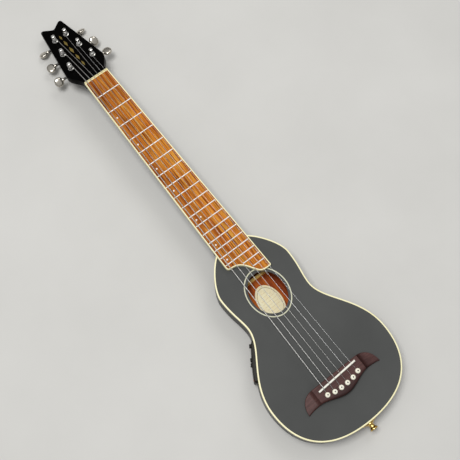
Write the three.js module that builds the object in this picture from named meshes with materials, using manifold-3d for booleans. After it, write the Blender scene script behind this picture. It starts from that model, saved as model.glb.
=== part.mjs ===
// A travel guitar: a thin steel-string guitar with a figure-eight body, an oval soundhole and a
// neck that joins the body at the fifteenth fret. Millimetres. X points to the treble side, Y to
// the headstock and Z out of the soundboard. The origin lies on the back, under the saddle's centre.
import * as THREE from 'three';
import { mergeVertices } from 'three/addons/utils/BufferGeometryUtils.js';
import Module from 'manifold-3d';

const wasm = await Module();
wasm.setup();

// Clearances
const gap = 0.3; // glue line or running clearance between two neighbours
const trimGap = 0.15; // clearance under the frets' crowns
const overrun = 2; // how far a cutter runs past the face that it cuts

// Strings and frets
const scaleLength = 609.6; // nut to saddle, 24 inches
const fretCount = 19;
const octaveFrets = 12;
const jointFret = 15; // the neck leaves the body at this fret
const fretY = (number) => scaleLength * 2 ** (-number / octaveFrets);
const stringNames = [1, 2, 3, 4, 5, 6]; // from the treble side to the bass side
const stringDiameters = [0.3, 0.41, 0.61, 0.81, 1.07, 1.35];
const stringSpacingAtNut = 7.3;
const stringSpacingAtSaddle = 10.92;
const pinSpacing = 11.3;
const saddleShift = 0.5; // how far the strings and pins stand to the treble side of the middle
const pinShift = 0.8;
const middleOfStrings = (stringNames.length - 1) / 2;
const acrossShare = (index) => middleOfStrings - index; // spacings from the centre line

// Body outline, one side of it, from the neck down to the tail
const bodyDepth = 38;
const bodyEndY = fretY(jointFret);
const bodyEndHalf = 16;
const shoulderLength = 65;
const upperBoutHalf = 64.9;
const upperBoutY = bodyEndY - shoulderLength;
const waistHalf = 58.8;
const waistBelowUpper = 58.3;
const waistY = upperBoutY - waistBelowUpper;
const lowerBoutHalf = 106.5;
const lowerBoutY = 14.9;
const tailY = -78.4;
const shoulderShares = [0.323, 0.346];
const upperShares = [0.478, 0.27];
const lowerShares = [0.288, 0.471];
const tailShares = [0.45, 0.83];
const outlineSteps = [9, 7, 9, 10];

// Plates, rim and blocks
const topThickness = 2.5;
const backThickness = 2.5;
const sideThickness = 2.5;
const bindingWidth = 2.5;
const bindingHeight = 5;
const liningWidth = 5;
const liningHeight = 7;
const rimInset = bindingWidth + gap; // what lies inside the binding starts here
const braceInset = rimInset + liningWidth + gap; // what lies inside the linings starts here
const topUnderside = bodyDepth - topThickness;
const insideLow = backThickness + gap;
const insideHigh = topUnderside - gap;
const neckBlockHalf = 28;
const neckBlockLength = 40;
const tailBlockHalf = 32;
const tailBlockThickness = 13;

// Soundhole and rosette
const holeAboveWaist = 26.4;
const holeY = waistY + holeAboveWaist;
const holeHalfWidth = 28;
const holeHalfLength = 34.8;
const rosetteHalfWidth = 33.1;
const rosetteHalfLength = 41.1;
const rosetteWidth = 2;
const rosetteThickness = 1;
const holeSides = 36;

// Braces
const braceWidth = 6;
const xBraceHeight = 9;
const bridgePlateHeadY = 8;
const xCrossingAbovePlate = 87;
const xCrossingY = bridgePlateHeadY + xCrossingAbovePlate;
const xBraceSlope = 0.72; // sideways travel for each unit along the body
const xBraceReach = 145;
const transverseAboveUpper = 12.2;
const transverseBraceY = upperBoutY + transverseAboveUpper;
const transverseBraceHalf = 60;
const holeBraceX = 37;
const holeBraceHeight = 5;
const toneBarHeight = 7;
const toneBarStartY = -12;
const toneBarEndX = 8;
const toneBarEndY = -56;
const backBraceHeight = 8;
const backBraceWidth = 4.6;
const upperBraceAboveUpper = 1.6;
const middleBraceBelowWaist = 21;
const lowerBraceBelowLower = 6.9;
const backBracePlaces = {
  back_brace_upper: upperBoutY + upperBraceAboveUpper,
  back_brace_middle: waistY - middleBraceBelowWaist,
  back_brace_lower: lowerBoutY - lowerBraceBelowLower,
};
const bridgePlateHalf = 36;
const bridgePlateThickness = 2.5;
const bridgePlateTailY = -24;

// Bridge, saddle and pins
const bridgeBlockHalf = 41.5;
const bridgeHeadY = 6.8;
const bridgeTipX = 66;
const bridgeTipY = -20;
const bridgeBellyY = -28.5;
const bridgeWaistY = -17.8;
const bridgeBlockHeight = 8.2;
const bridgeWingHeight = 4.2;
const bridgeTipHeight = 2.6;
const bridgeScoop = 5; // length of the hollow between the block and a wing
const bridgeTuck = 0.9; // how far the tail edge draws in beside the belly
const bridgeWingShares = [0.62, 0.55];
const bridgeBellyShares = [0.68, 0.36];
const bridgeCurveSteps = 6;
const saddleLength = 70;
const saddleThickness = 3;
const saddleSeatDepth = 5;
const saddleProud = 3.4;
const saddleCrown = saddleThickness / 2; // the top is rounded to this radius
const saddleCrownSteps = 8;
const saddleSlantDegrees = 3.07;
const pinRowY = -16.1; // the middle pins; the outer ones stand nearer to the saddle
const pinRowShares = [0.76, 0.94, 1, 1, 0.94, 0.76];
const pinRows = pinRowShares.map((share) => share * pinRowY);
const pinHeadRadius = 3.9;
const pinHeadHeight = 3;
const pinShankRadius = 2.6;
const pinTipRadius = 2;
const pinShankLength = 19;
const pinDotRadius = 1.2;
const pinHeadShares = [0.8, 0.35, 0.75, 0.85];
const pinSides = 10;

// Fingerboard, its binding, frets and dots
const boardThickness = 6.6;
const coreHalfAtNut = 20.4; // half the fingerboard's width inside its binding
const coreHalfAtOctave = 25.65;
const boardBinding = 1.6;
const coreTaper = (coreHalfAtOctave - coreHalfAtNut) / (scaleLength - fretY(octaveFrets));
const coreHalf = (y) => coreHalfAtNut + (scaleLength - y) * coreTaper;
const boardHalf = (y) => coreHalf(y) + gap + boardBinding;
const boardPastLastFret = 14.6; // the longer treble side runs on past the last fret
const boardTrebleEndY = fretY(fretCount) - boardPastLastFret;
const boardEndStep = 31.4; // how much further the treble side runs than the bass side
const boardBassEndY = boardTrebleEndY + boardEndStep;
const boardCorner = 6.5; // round of the bass corner
const boardBendX = 1.5; // where the end's curve turns over
const boardBendRise = 15.4;
const boardBendY = boardTrebleEndY + boardBendRise;
const boardFlatX = 21.7; // where the end runs straight again
const boardCurveHandle = 11;
const boardBendHandle = 12;
const boardBend = THREE.MathUtils.degToRad(58); // slope of the end's curve where it turns over
const boardCurveSteps = 8;
const boardCornerSteps = 4;
const fretCrownWidth = 2.2;
const fretCrownHeight = 1.1;
const fretCrownShares = [[-0.5, 0], [-0.42, 0.55], [-0.18, 1], [0.18, 1], [0.42, 0.55], [0.5, 0]];
const fretEndInset = 0.4;
const tangThickness = 0.6;
const tangDepth = 2;
const keyWidth = 2; // wire under the board that holds the row of frets or dots
const keyHeight = 1.3;
const fretKeyX = 12;
const dotShare = -2; // string spacings from the centre line: between the two bass strings
const dotPairShare = -1.1;
const dotRadius = 1.4;
const dotSides = 8;
const dotFrets = [3, 5, 7, 9, 12, 15, 17];
const doubleDotFret = 12;

// Nut
const nutThickness = 3.4;
const nutAboveFrets = 1.2;
const stringAboveFretsAtNut = 0.5;

// Neck
const neckDepthAtNut = 14;
const neckDepthAtHeel = 16;
const heelDepth = 33.5;
const heelLength = 40;
const heelCapHalf = 12;
const heelCurvePower = 2.6;
const neckRoundPower = 0.85;
const neckSectionSides = 12;
const neckSectionShares = [0, 0.008, 0.02, 0.035, 0.055, 0.08, 0.11, 0.3, 0.55, 0.8, 0.97, 1];
const neckIntoHead = 12;
const tenonHalf = 8;
const tenonLength = 13;
const tenonLow = 7;
const tenonHigh = 30;
const rodChannelHalf = 3.3;
const rodChannelDepth = 9;
const rodFromBody = 5.7;
const rodStartY = bodyEndY + rodFromBody;
const rodFromNut = 9.6;
const rodEndY = scaleLength - rodFromNut;
const rodRadius = 1.7;
const rodBlockLength = 10;
const rodSides = 8;

// Headstock, with s measured from the nut along its face
const headAngle = THREE.MathUtils.degToRad(14);
const headThickness = 13;
const headNotchS = 140.4;
const headTipX = 17;
const headTipS = 150.9;
const headTopHalf = 21.4;
const headTopS = 144.4;
const headCornerHalf = 36.3;
const headCornerS = 37.4;
const headShoulderX = 34.3;
const headShoulderS = 27.9;
const headRootHalf = 22.2;
const headRootS = 3.4;
const headCornerRoundS = 32.4;
const headNotchHandle = 5;
const headNotchRise = 0.8;
const headTipHandle = 4;
const headShoulderHandle = 9;
const headCurveSteps = 5;

// Tuning machines, in the headstock's frame, listed by string
const postLowX = 21.7; // the pair nearest to the nut
const postDrawIn = 5.3; // how much nearer to the middle each further pair stands
const postLowS = 44.6;
const postSpacing = 35.4;
const postRows = [0, 1, 2, 2, 1, 0]; // pair that each string goes to
const postSides = [1, 1, 1, -1, -1, -1];
const postX = postRows.map((row, index) => postSides[index] * (postLowX - row * postDrawIn));
const postS = postRows.map((row) => postLowS + row * postSpacing);
const postRadius = 3;
const postWaistRadius = 2.3;
const postWaistLow = 3;
const postWaistHigh = 10.4;
const postTop = 12.6;
const postBevel = 0.8;
const postFacets = 10;
const bushingRadius = 4.5;
const bushingNutRadius = 5;
const bushingNutHeight = 2.4;
const bushingNutBevel = 0.7;
const bushingSides = 12;
const housingHeight = 10;
const housingInner = 8;
const housingOuter = 11.5;
const housingLow = 7;
const housingHigh = 10;
const housingBevel = 1.5;
const gearRadius = 4;
const gearHeight = 4;
const wormOffset = 6;
const wormRadius = 1.7;
const wormLength = 8;
const wormDepth = 5.3; // shaft below the headstock's back
const shaftRadius = 1.9;
const collarRadius = 3.2;
const collarLength = 1.6;
const buttonDistance = 27; // post axis to button centre
const buttonHalfLength = 7.5;
const buttonHalfWidth = 8.4;
const buttonHalfThickness = 3.3;
const buttonSides = 10;
const buttonRows = 7;
const buttonStem = 1.5;
const buttonTurnDegrees = [-5, 45, -35, -25, 10, 45]; // as the tuning left them

// String windings on the posts
const windingTurns = [3, 3, 3, 3, 3, 2.5];
const windingSteps = 12;
const windingSpace = 0.7; // pitch beyond the string's diameter
const stringSides = 5;
const ballRadius = 1.9;
const ballLength = 3;
const stringBendSteps = 4;
const leadSpread = 8; // the measured lead is a quarter of the run from post to nut

// Preamp on the bass side
const preampShare = 0.43; // place along the curve from waist to lower bout
const panelHalfLength = 31.5;
const panelProud = 5.4;
const panelLow = 5.5;
const panelHigh = 32.4;
const panelFaceShares = [[0.25, 1], [0.76, 0.91], [1, 0.74]]; // along it and out of the side
const panelSink = 5;
const panelRound = 4;
const panelRoundSteps = 4;
const caseHalfLength = 27;
const caseLow = insideLow + liningHeight + gap;
const caseHigh = insideHigh - liningHeight - gap;
const caseDepth = 24;
const volumeKnobY = -24; // along the panel, towards the tail
const bassKnobY = -3.3;
const trebleKnobY = 4.2;
const knobPlaces = {
  preamp_knob_volume: volumeKnobY,
  preamp_knob_bass: bassKnobY,
  preamp_knob_treble: trebleKnobY,
};
const knobSeat = 3.9; // floor of a knob's recess, out of the side
const knobZ = 22;
const knobRadius = 3.2;
const knobHeight = 3.4;
const knobBevel = 0.5;
const knobStemRadius = 1.4;
const knobStemDepth = 3;
const knobSides = 12;

// Endpin jack and its plate
const jackZ = bodyDepth / 2;
const barrelRadius = 6;
const barrelInside = 28;
const socketRadius = 3.25;
const socketDepth = 32;
const jackCollarRadius = 7.4;
const jackCollarThickness = 1.6;
const jackNeckRadius = 4.3;
const jackFlangeRadius = 6.2;
const jackFlangeThickness = 2.4;
const jackReach = 13;
const jackSides = 16;
const plateHalfWidth = 12;
const plateHalfHeight = 8;
const plateThickness = 1.2;
const plateScrewX = 9.4;
const plateScrewRadius = 1.7;
const plateScrewHeight = 0.8;

// Materials
const finish = (color, roughness, metalness) =>
  new THREE.MeshStandardMaterial({ color, roughness, metalness });
const charcoalLacquer = () => finish(0x555555, 0.5, 0);
const blackLacquer = () => finish(0x0b0b0b, 0.2, 0);
const creamPlastic = () => finish(0xf3ecc0, 0.35, 0);
const mahogany = () => finish(0x6e3016, 0.6, 0);
const spruce = () => finish(0xc79a5c, 0.7, 0);
const rosewood = () => finish(0x5a3a36, 0.55, 0);
const orangeRosewood = () => finish(0xa85f26, 0.5, 0);
const nickel = () => finish(0xcfcfcc, 0.25, 1);
const chrome = () => finish(0xd8d8d6, 0.12, 1);
const brass = () => finish(0xd2aa4a, 0.25, 1);
const steel = () => finish(0xa5a5a5, 0.35, 1);
const pearl = () => finish(0xe8e6dc, 0.3, 0);
const bone = () => finish(0xf4f1e4, 0.4, 0);
const blackPlastic = () => finish(0x161616, 0.45, 0);

// Vectors
const v2 = (x, y) => new THREE.Vector2(x, y);
const v3 = (x, y, z) => new THREE.Vector3(x, y, z);
const mirrored = (points) => points.map((point) => v2(-point.x, point.y)).reverse();
const bezier = (a, b, c, d, steps) => new THREE.CubicBezierCurve(a, b, c, d).getPoints(steps);
const arc = (a, b, c, steps) => new THREE.QuadraticBezierCurve(a, b, c).getPoints(steps);

// A closed solid from a three.js geometry
function solidOf(geometry) {
  geometry.deleteAttribute('normal');
  geometry.deleteAttribute('uv');
  const merged = mergeVertices(geometry);
  const triVerts = new Uint32Array(merged.index.array);
  const vertProperties = new Float32Array(merged.attributes.position.array);
  return new wasm.Manifold(new wasm.Mesh({ numProp: 3, vertProperties, triVerts }));
}

// A three.js geometry from a closed solid
function geometryOf(solid) {
  const mesh = solid.getMesh();
  const geometry = new THREE.BufferGeometry();
  geometry.setAttribute('position', new THREE.BufferAttribute(mesh.vertProperties, mesh.numProp));
  geometry.setIndex(new THREE.BufferAttribute(mesh.triVerts, 1));
  return geometry;
}

const guitar = new THREE.Group();

// One named sub-part in the guitar, or in the group that carries it
function addPiece(name, solid, material, parent = guitar) {
  const mesh = new THREE.Mesh(geometryOf(solid), material);
  mesh.name = name;
  parent.add(mesh);
  return mesh;
}

// A flat plate of any outline between two heights
function slab(points, low, high) {
  const shape = new THREE.Shape(points);
  const geometry = new THREE.ExtrudeGeometry(shape, { depth: high - low, bevelEnabled: false });
  return solidOf(geometry.translate(0, 0, low));
}

// A box between two corners
function block(x0, x1, y0, y1, z0, z1) {
  const geometry = new THREE.BoxGeometry(x1 - x0, y1 - y0, z1 - z0);
  return solidOf(geometry.translate((x0 + x1) / 2, (y0 + y1) / 2, (z0 + z1) / 2));
}

// A straight bar of one width between two points of the plan
function bar(from, to, width, low, high) {
  const along = to.clone().sub(from);
  const geometry = new THREE.BoxGeometry(along.length(), width, high - low);
  geometry.rotateZ(along.angle());
  const middle = from.clone().add(to).divideScalar(2);
  return solidOf(geometry.translate(middle.x, middle.y, (low + high) / 2));
}

// An upright round rod
function rod(radius, low, high, sides) {
  const geometry = new THREE.CylinderGeometry(radius, radius, high - low, sides);
  geometry.rotateX(Math.PI / 2);
  return solidOf(geometry.translate(0, 0, (low + high) / 2));
}

// A solid of revolution about Z from [radius, height] pairs that start and end on the axis
function turned(profile, sides) {
  const points = profile.map(([radius, height]) => v2(radius, height));
  const geometry = new THREE.LatheGeometry(points, sides);
  geometry.rotateX(Math.PI / 2);
  return outward(geometry);
}

// A plan drawn across and up, carried along X
function profileAlongX(points, from, to) {
  const depth = to - from;
  const geometry = new THREE.ExtrudeGeometry(new THREE.Shape(points), { depth, bevelEnabled: false });
  const turn = new THREE.Matrix4().makeBasis(v3(0, 1, 0), v3(0, 0, 1), v3(1, 0, 0));
  return solidOf(geometry.applyMatrix4(turn).translate(from, 0, 0));
}

// A plan drawn across and up, carried along Y
function profileAlongY(points, from, to) {
  const depth = to - from;
  const geometry = new THREE.ExtrudeGeometry(new THREE.Shape(points), { depth, bevelEnabled: false });
  return solidOf(geometry.rotateX(Math.PI / 2).translate(0, to, 0));
}

const faceCorners = 3;

// The same solid with its faces turned outward
function outward(geometry) {
  const solid = solidOf(geometry);
  if (solid.volume() > 0) return solid;
  const flipped = geometry.clone();
  const index = flipped.index.array;
  for (let corner = 0; corner < index.length; corner += faceCorners) {
    [index[corner], index[corner + 1]] = [index[corner + 1], index[corner]];
  }
  return solidOf(flipped);
}

// A closed solid through rings of equal count, with a fan at each end
function loft(rings) {
  const count = rings[0].length;
  const middleOf = (ring) =>
    ring.reduce((sum, point) => sum.add(point), v3(0, 0, 0)).divideScalar(count);
  const points = [...rings.flat(), middleOf(rings[0]), middleOf(rings[rings.length - 1])];
  const firstFan = rings.length * count;
  const lastFan = firstFan + 1;
  const faces = [];
  for (let side = 0; side < count; side += 1) {
    const next = (side + 1) % count;
    faces.push(firstFan, next, side);
    faces.push(lastFan, (rings.length - 1) * count + side, (rings.length - 1) * count + next);
    for (let ring = 0; ring + 1 < rings.length; ring += 1) {
      const low = ring * count;
      const high = low + count;
      faces.push(low + side, low + next, high + next, low + side, high + next, high + side);
    }
  }
  const geometry = new THREE.BufferGeometry().setFromPoints(points);
  geometry.setIndex(faces);
  return outward(geometry);
}

// An ellipse as a closed list of points
function ellipse(halfWidth, halfLength, centreY, sides) {
  const curve = new THREE.EllipseCurve(0, centreY, halfWidth, halfLength);
  return curve.getPoints(sides).slice(0, sides);
}

// A closed outline moved inward by one distance, with mitred corners
function inset(points, distance) {
  const ordered = THREE.ShapeUtils.isClockWise(points) ? points : [...points].reverse();
  const count = ordered.length;
  const outwardNormal = (from, to) => v2(from.y - to.y, to.x - from.x).normalize();
  return ordered.map((point, index) => {
    const before = outwardNormal(ordered[(index + count - 1) % count], point);
    const after = outwardNormal(point, ordered[(index + 1) % count]);
    const mitre = before.clone().add(after).divideScalar(1 + before.dot(after));
    return point.clone().addScaledVector(mitre, -distance);
  });
}

// Body outline
const shoulder = [
  v2(bodyEndHalf, bodyEndY),
  v2(bodyEndHalf + shoulderShares[0] * (upperBoutHalf - bodyEndHalf), bodyEndY),
  v2(upperBoutHalf, upperBoutY + shoulderShares[1] * (bodyEndY - upperBoutY)),
  v2(upperBoutHalf, upperBoutY),
];
const upperSide = [
  v2(upperBoutHalf, upperBoutY),
  v2(upperBoutHalf, upperBoutY - upperShares[0] * (upperBoutY - waistY)),
  v2(waistHalf, waistY + upperShares[1] * (upperBoutY - waistY)),
  v2(waistHalf, waistY),
];
const lowerSide = [
  v2(waistHalf, waistY),
  v2(waistHalf, waistY - lowerShares[0] * (waistY - lowerBoutY)),
  v2(lowerBoutHalf, lowerBoutY + lowerShares[1] * (waistY - lowerBoutY)),
  v2(lowerBoutHalf, lowerBoutY),
];
const tailSide = [
  v2(lowerBoutHalf, lowerBoutY),
  v2(lowerBoutHalf, lowerBoutY - tailShares[0] * (lowerBoutY - tailY)),
  v2(tailShares[1] * lowerBoutHalf, tailY),
  v2(0, tailY),
];
const trebleOutline = [shoulder, upperSide, lowerSide, tailSide].flatMap((points, index) =>
  bezier(...points, outlineSteps[index]).slice(0, outlineSteps[index]),
);
const bodyOutline = [...trebleOutline, v2(0, tailY), ...mirrored(trebleOutline)];
const bodySlab = (distance, low, high) => slab(inset(bodyOutline, distance), low, high);
const bodyRing = (outer, inner, low, high) =>
  bodySlab(outer, low, high).subtract(bodySlab(inner, low - overrun, high + overrun));
const bodyReach = scaleLength; // further than the body goes from the origin

// Where each string runs, in the order of stringNames
const stringX = (index, spacing) => acrossShare(index) * spacing;
const pinX = (index) => stringX(index, pinSpacing) + pinShift;
const saddleSlant = THREE.MathUtils.degToRad(saddleSlantDegrees);
const saddleY = (x) => x * Math.tan(saddleSlant);
const stringFromPin = (index) => pinHeadRadius + gap + stringDiameters[index] / 2;

// The hole of one bridge pin, with the slot that lets its string pass in front of the pin
function pinHole(index, low, high) {
  const half = stringDiameters[index] / 2 + gap;
  const slot = block(-half, half, 0, stringFromPin(index) + half, low, high);
  const hole = rod(pinShankRadius + gap, low, high, pinSides).add(slot);
  return hole.translate([pinX(index), pinRows[index], 0]);
}

function cutPinHoles(solid, low, high) {
  return pinRows.reduce((rest, unused, index) => rest.subtract(pinHole(index, low, high)), solid);
}

// Endpin bore, through the rim and the tail block
const alongBody = (solid) => solid.rotate([90, 0, 0]).translate([0, tailY, jackZ]);
const endpinBore = alongBody(rod(barrelRadius + gap, -barrelInside, overrun, jackSides));

// Preamp frame: x out of the side, y towards the tail, at a place on the side's curve
const preampCurve = new THREE.CubicBezierCurve(...lowerSide);
const preampSpot = preampCurve.getPoint(preampShare);
const preampRun = preampCurve.getTangent(preampShare);
const preampTurn = Math.atan2(preampRun.x, preampRun.y);
const preampTurnDegrees = THREE.MathUtils.radToDeg(preampTurn);
const atPreamp = (solid) =>
  solid.rotate([0, 0, preampTurnDegrees]).translate([-preampSpot.x, preampSpot.y, 0]);
const preampWindow = atPreamp(
  block(
    -caseDepth,
    panelProud,
    -caseHalfLength - gap,
    caseHalfLength + gap,
    caseLow - gap,
    caseHigh + gap,
  ),
);

// Soundboard: a plate with the oval hole, the rosette's channel and the pins' holes
function makeSoundboard() {
  const hole = slab(
    ellipse(holeHalfWidth, holeHalfLength, holeY, holeSides),
    topUnderside - overrun,
    bodyDepth + overrun,
  );
  const channelFloor = bodyDepth - rosetteThickness - gap;
  const channel = slab(
    ellipse(rosetteHalfWidth + gap, rosetteHalfLength + gap, holeY, holeSides),
    channelFloor,
    bodyDepth + overrun,
  ).subtract(
    slab(
      ellipse(
        rosetteHalfWidth - rosetteWidth - gap,
        rosetteHalfLength - rosetteWidth - gap,
        holeY,
        holeSides,
      ),
      channelFloor - overrun,
      bodyDepth + overrun + overrun,
    ),
  );
  const plate = bodySlab(rimInset, topUnderside, bodyDepth).subtract(hole).subtract(channel);
  return cutPinHoles(plate, topUnderside - overrun, bodyDepth + overrun);
}

function makeRosette() {
  const low = bodyDepth - rosetteThickness;
  const outer = slab(ellipse(rosetteHalfWidth, rosetteHalfLength, holeY, holeSides), low, bodyDepth);
  const innerOval = ellipse(
    rosetteHalfWidth - rosetteWidth,
    rosetteHalfLength - rosetteWidth,
    holeY,
    holeSides,
  );
  return outer.subtract(slab(innerOval, low - overrun, bodyDepth + overrun));
}

// The two bent sides stop at the neck's tenon and meet on the tail's centre line
const sideHigh = bodyDepth - bindingHeight - gap;
function makeSides() {
  const rim = bodyRing(0, sideThickness, insideLow, sideHigh);
  const tenonGate = block(
    -tenonHalf - gap,
    tenonHalf + gap,
    waistY,
    bodyReach,
    insideLow - overrun,
    bodyDepth,
  );
  const opened = rim.subtract(tenonGate).subtract(endpinBore).subtract(preampWindow);
  const half = (sign) => {
    const edges = [(sign * gap) / 2, sign * bodyReach].sort((a, b) => a - b);
    return opened.intersect(block(...edges, -bodyReach, bodyReach, 0, bodyDepth));
  };
  return { bass_side: half(-1), treble_side: half(1) };
}

// Linings: strips glued in the corners of the rim, stopped at the neck block
const neckBlockStartY = bodyEndY - rimInset - neckBlockLength;
function makeLining(low, high) {
  const ring = bodyRing(rimInset, rimInset + liningWidth, low, high);
  const stop = block(
    -neckBlockHalf - gap,
    neckBlockHalf + gap,
    neckBlockStartY - gap,
    bodyReach,
    low - overrun,
    high + overrun,
  );
  return ring.subtract(stop);
}

function makeNeckBlock() {
  const mortise = block(
    -tenonHalf - gap,
    tenonHalf + gap,
    bodyEndY - tenonLength - gap,
    bodyReach,
    tenonLow - gap,
    tenonHigh + gap,
  );
  const region = block(
    -neckBlockHalf,
    neckBlockHalf,
    neckBlockStartY,
    bodyReach,
    insideLow,
    insideHigh,
  );
  return bodySlab(rimInset, insideLow, insideHigh).intersect(region).subtract(mortise);
}

function makeTailBlock() {
  const region = block(
    -tailBlockHalf,
    tailBlockHalf,
    -bodyReach,
    tailY + rimInset + tailBlockThickness,
    insideLow,
    insideHigh,
  );
  const notch = (low, high) => bodyRing(0, rimInset + liningWidth + gap, low, high);
  return bodySlab(rimInset, insideLow, insideHigh)
    .intersect(region)
    .subtract(notch(0, insideLow + liningHeight + gap))
    .subtract(notch(insideHigh - liningHeight - gap, bodyDepth))
    .subtract(endpinBore);
}

// Top bracing: an X, a transverse brace above the hole, two bars beside it and one tone bar
function makeTopBracing() {
  const run = v2(xBraceSlope, 1).normalize().multiplyScalar(xBraceReach);
  const crossing = v2(0, xCrossingY);
  const xArm = (sign) => {
    const half = v2(sign * run.x, run.y);
    const low = insideHigh - xBraceHeight;
    const ends = [crossing.clone().sub(half), crossing.clone().add(half)];
    return bar(ends[0], ends[1], braceWidth, low, insideHigh);
  };
  const armX = (y) => (y - xCrossingY) * xBraceSlope;
  const transverse = bar(
    v2(-transverseBraceHalf, transverseBraceY),
    v2(transverseBraceHalf, transverseBraceY),
    braceWidth,
    insideHigh - xBraceHeight,
    insideHigh,
  );
  const holeBar = (sign) =>
    bar(
      v2(sign * holeBraceX, xCrossingY + holeBraceX / xBraceSlope),
      v2(sign * holeBraceX, transverseBraceY),
      braceWidth,
      insideHigh - holeBraceHeight,
      insideHigh,
    );
  const toneBar = bar(
    v2(armX(toneBarStartY), toneBarStartY),
    v2(toneBarEndX, toneBarEndY),
    braceWidth,
    insideHigh - toneBarHeight,
    insideHigh,
  );
  return xArm(1)
    .add(xArm(-1))
    .add(transverse)
    .add(holeBar(1))
    .add(holeBar(-1))
    .add(toneBar)
    .intersect(bodySlab(braceInset, 0, bodyDepth));
}

function makeBackBrace(y) {
  const high = insideLow + backBraceHeight;
  const ends = [v2(-lowerBoutHalf, y), v2(lowerBoutHalf, y)];
  const whole = bar(ends[0], ends[1], backBraceWidth, insideLow, high);
  return whole.intersect(bodySlab(braceInset, 0, bodyDepth));
}

function makeBridgePlate() {
  const low = insideHigh - bridgePlateThickness;
  const plate = block(
    -bridgePlateHalf,
    bridgePlateHalf,
    bridgePlateTailY,
    bridgePlateHeadY,
    low,
    insideHigh,
  );
  return cutPinHoles(plate, low - overrun, insideHigh + overrun);
}

// Bridge: a thick block with a belly towards the tail and two thin, hollowed wings
const bridgeLow = bodyDepth + gap;
const bridgeHigh = bridgeLow + bridgeBlockHeight;
const saddleSeat = bridgeHigh - saddleSeatDepth;
const saddleTop = bridgeHigh + saddleProud;

function bridgeOutline() {
  const wingRun = bridgeTipX - bridgeBlockHalf;
  const wingRise = bridgeHeadY - bridgeTipY;
  const upperWing = bezier(
    v2(bridgeBlockHalf, bridgeHeadY),
    v2(bridgeBlockHalf + bridgeWingShares[0] * wingRun, bridgeHeadY),
    v2(bridgeTipX, bridgeTipY + bridgeWingShares[1] * wingRise),
    v2(bridgeTipX, bridgeTipY),
    bridgeCurveSteps,
  );
  const lowerWing = arc(
    v2(bridgeTipX, bridgeTipY),
    v2(bridgeBlockHalf + wingRun / 2, bridgeWaistY + bridgeTuck),
    v2(bridgeBlockHalf, bridgeWaistY),
    bridgeCurveSteps,
  );
  const belly = bezier(
    v2(bridgeBlockHalf, bridgeWaistY),
    v2(bridgeBellyShares[0] * bridgeBlockHalf, bridgeWaistY - bridgeTuck),
    v2(bridgeBellyShares[1] * bridgeBlockHalf, bridgeBellyY),
    v2(0, bridgeBellyY),
    bridgeCurveSteps,
  );
  const half = [...upperWing, ...lowerWing.slice(1), ...belly.slice(1, -1)];
  return [...half, v2(0, bridgeBellyY), ...mirrored(half)];
}

function makeBridge() {
  const wingTop = bridgeLow + bridgeWingHeight;
  const aboveWing = [
    v2(bridgeBlockHalf, bridgeHigh + overrun),
    v2(bridgeBlockHalf, bridgeHigh),
    v2(bridgeBlockHalf + bridgeScoop / 4, (bridgeHigh + wingTop) / 2),
    v2(bridgeBlockHalf + bridgeScoop, wingTop),
    v2(bridgeTipX, bridgeLow + bridgeTipHeight),
    v2(bridgeTipX + overrun, bridgeLow + bridgeTipHeight),
    v2(bridgeTipX + overrun, bridgeHigh + overrun),
  ];
  const reach = [bridgeBellyY - overrun, bridgeHeadY + overrun];
  const seat = block(
    -saddleLength / 2 - gap,
    saddleLength / 2 + gap,
    -saddleThickness / 2 - gap,
    saddleThickness / 2 + gap,
    saddleSeat - gap,
    bridgeHigh + overrun,
  ).rotate([0, 0, saddleSlantDegrees]);
  const body = slab(bridgeOutline(), bridgeLow, bridgeHigh)
    .subtract(profileAlongY(aboveWing, ...reach))
    .subtract(profileAlongY(mirrored(aboveWing), ...reach))
    .subtract(seat);
  return cutPinHoles(body, bridgeLow - overrun, bridgeHigh + overrun);
}

function makeSaddle() {
  const crown = Array.from({ length: saddleCrownSteps + 1 }, (unused, step) => {
    const angle = (Math.PI * step) / saddleCrownSteps;
    const across = saddleCrown * Math.cos(angle);
    return v2(across, saddleTop - saddleCrown + saddleCrown * Math.sin(angle));
  });
  const foot = [v2(-saddleCrown, saddleSeat), v2(saddleCrown, saddleSeat)];
  return profileAlongX([...foot, ...crown], -saddleLength / 2, saddleLength / 2);
}

// A bridge pin: tapered shank below zero, domed head above
function makePin() {
  const profile = [
    [0, -pinShankLength],
    [pinTipRadius, -pinShankLength],
    [pinShankRadius, -pinShankLength / 4],
    [pinShankRadius, 0],
    [pinHeadRadius * pinHeadShares[0], 0],
    [pinHeadRadius, pinHeadHeight * pinHeadShares[1]],
    [pinHeadRadius * pinHeadShares[2], pinHeadHeight * pinHeadShares[3]],
    [pinDotRadius, pinHeadHeight],
    [0, pinHeadHeight],
  ];
  return turned(profile, pinSides);
}

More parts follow.
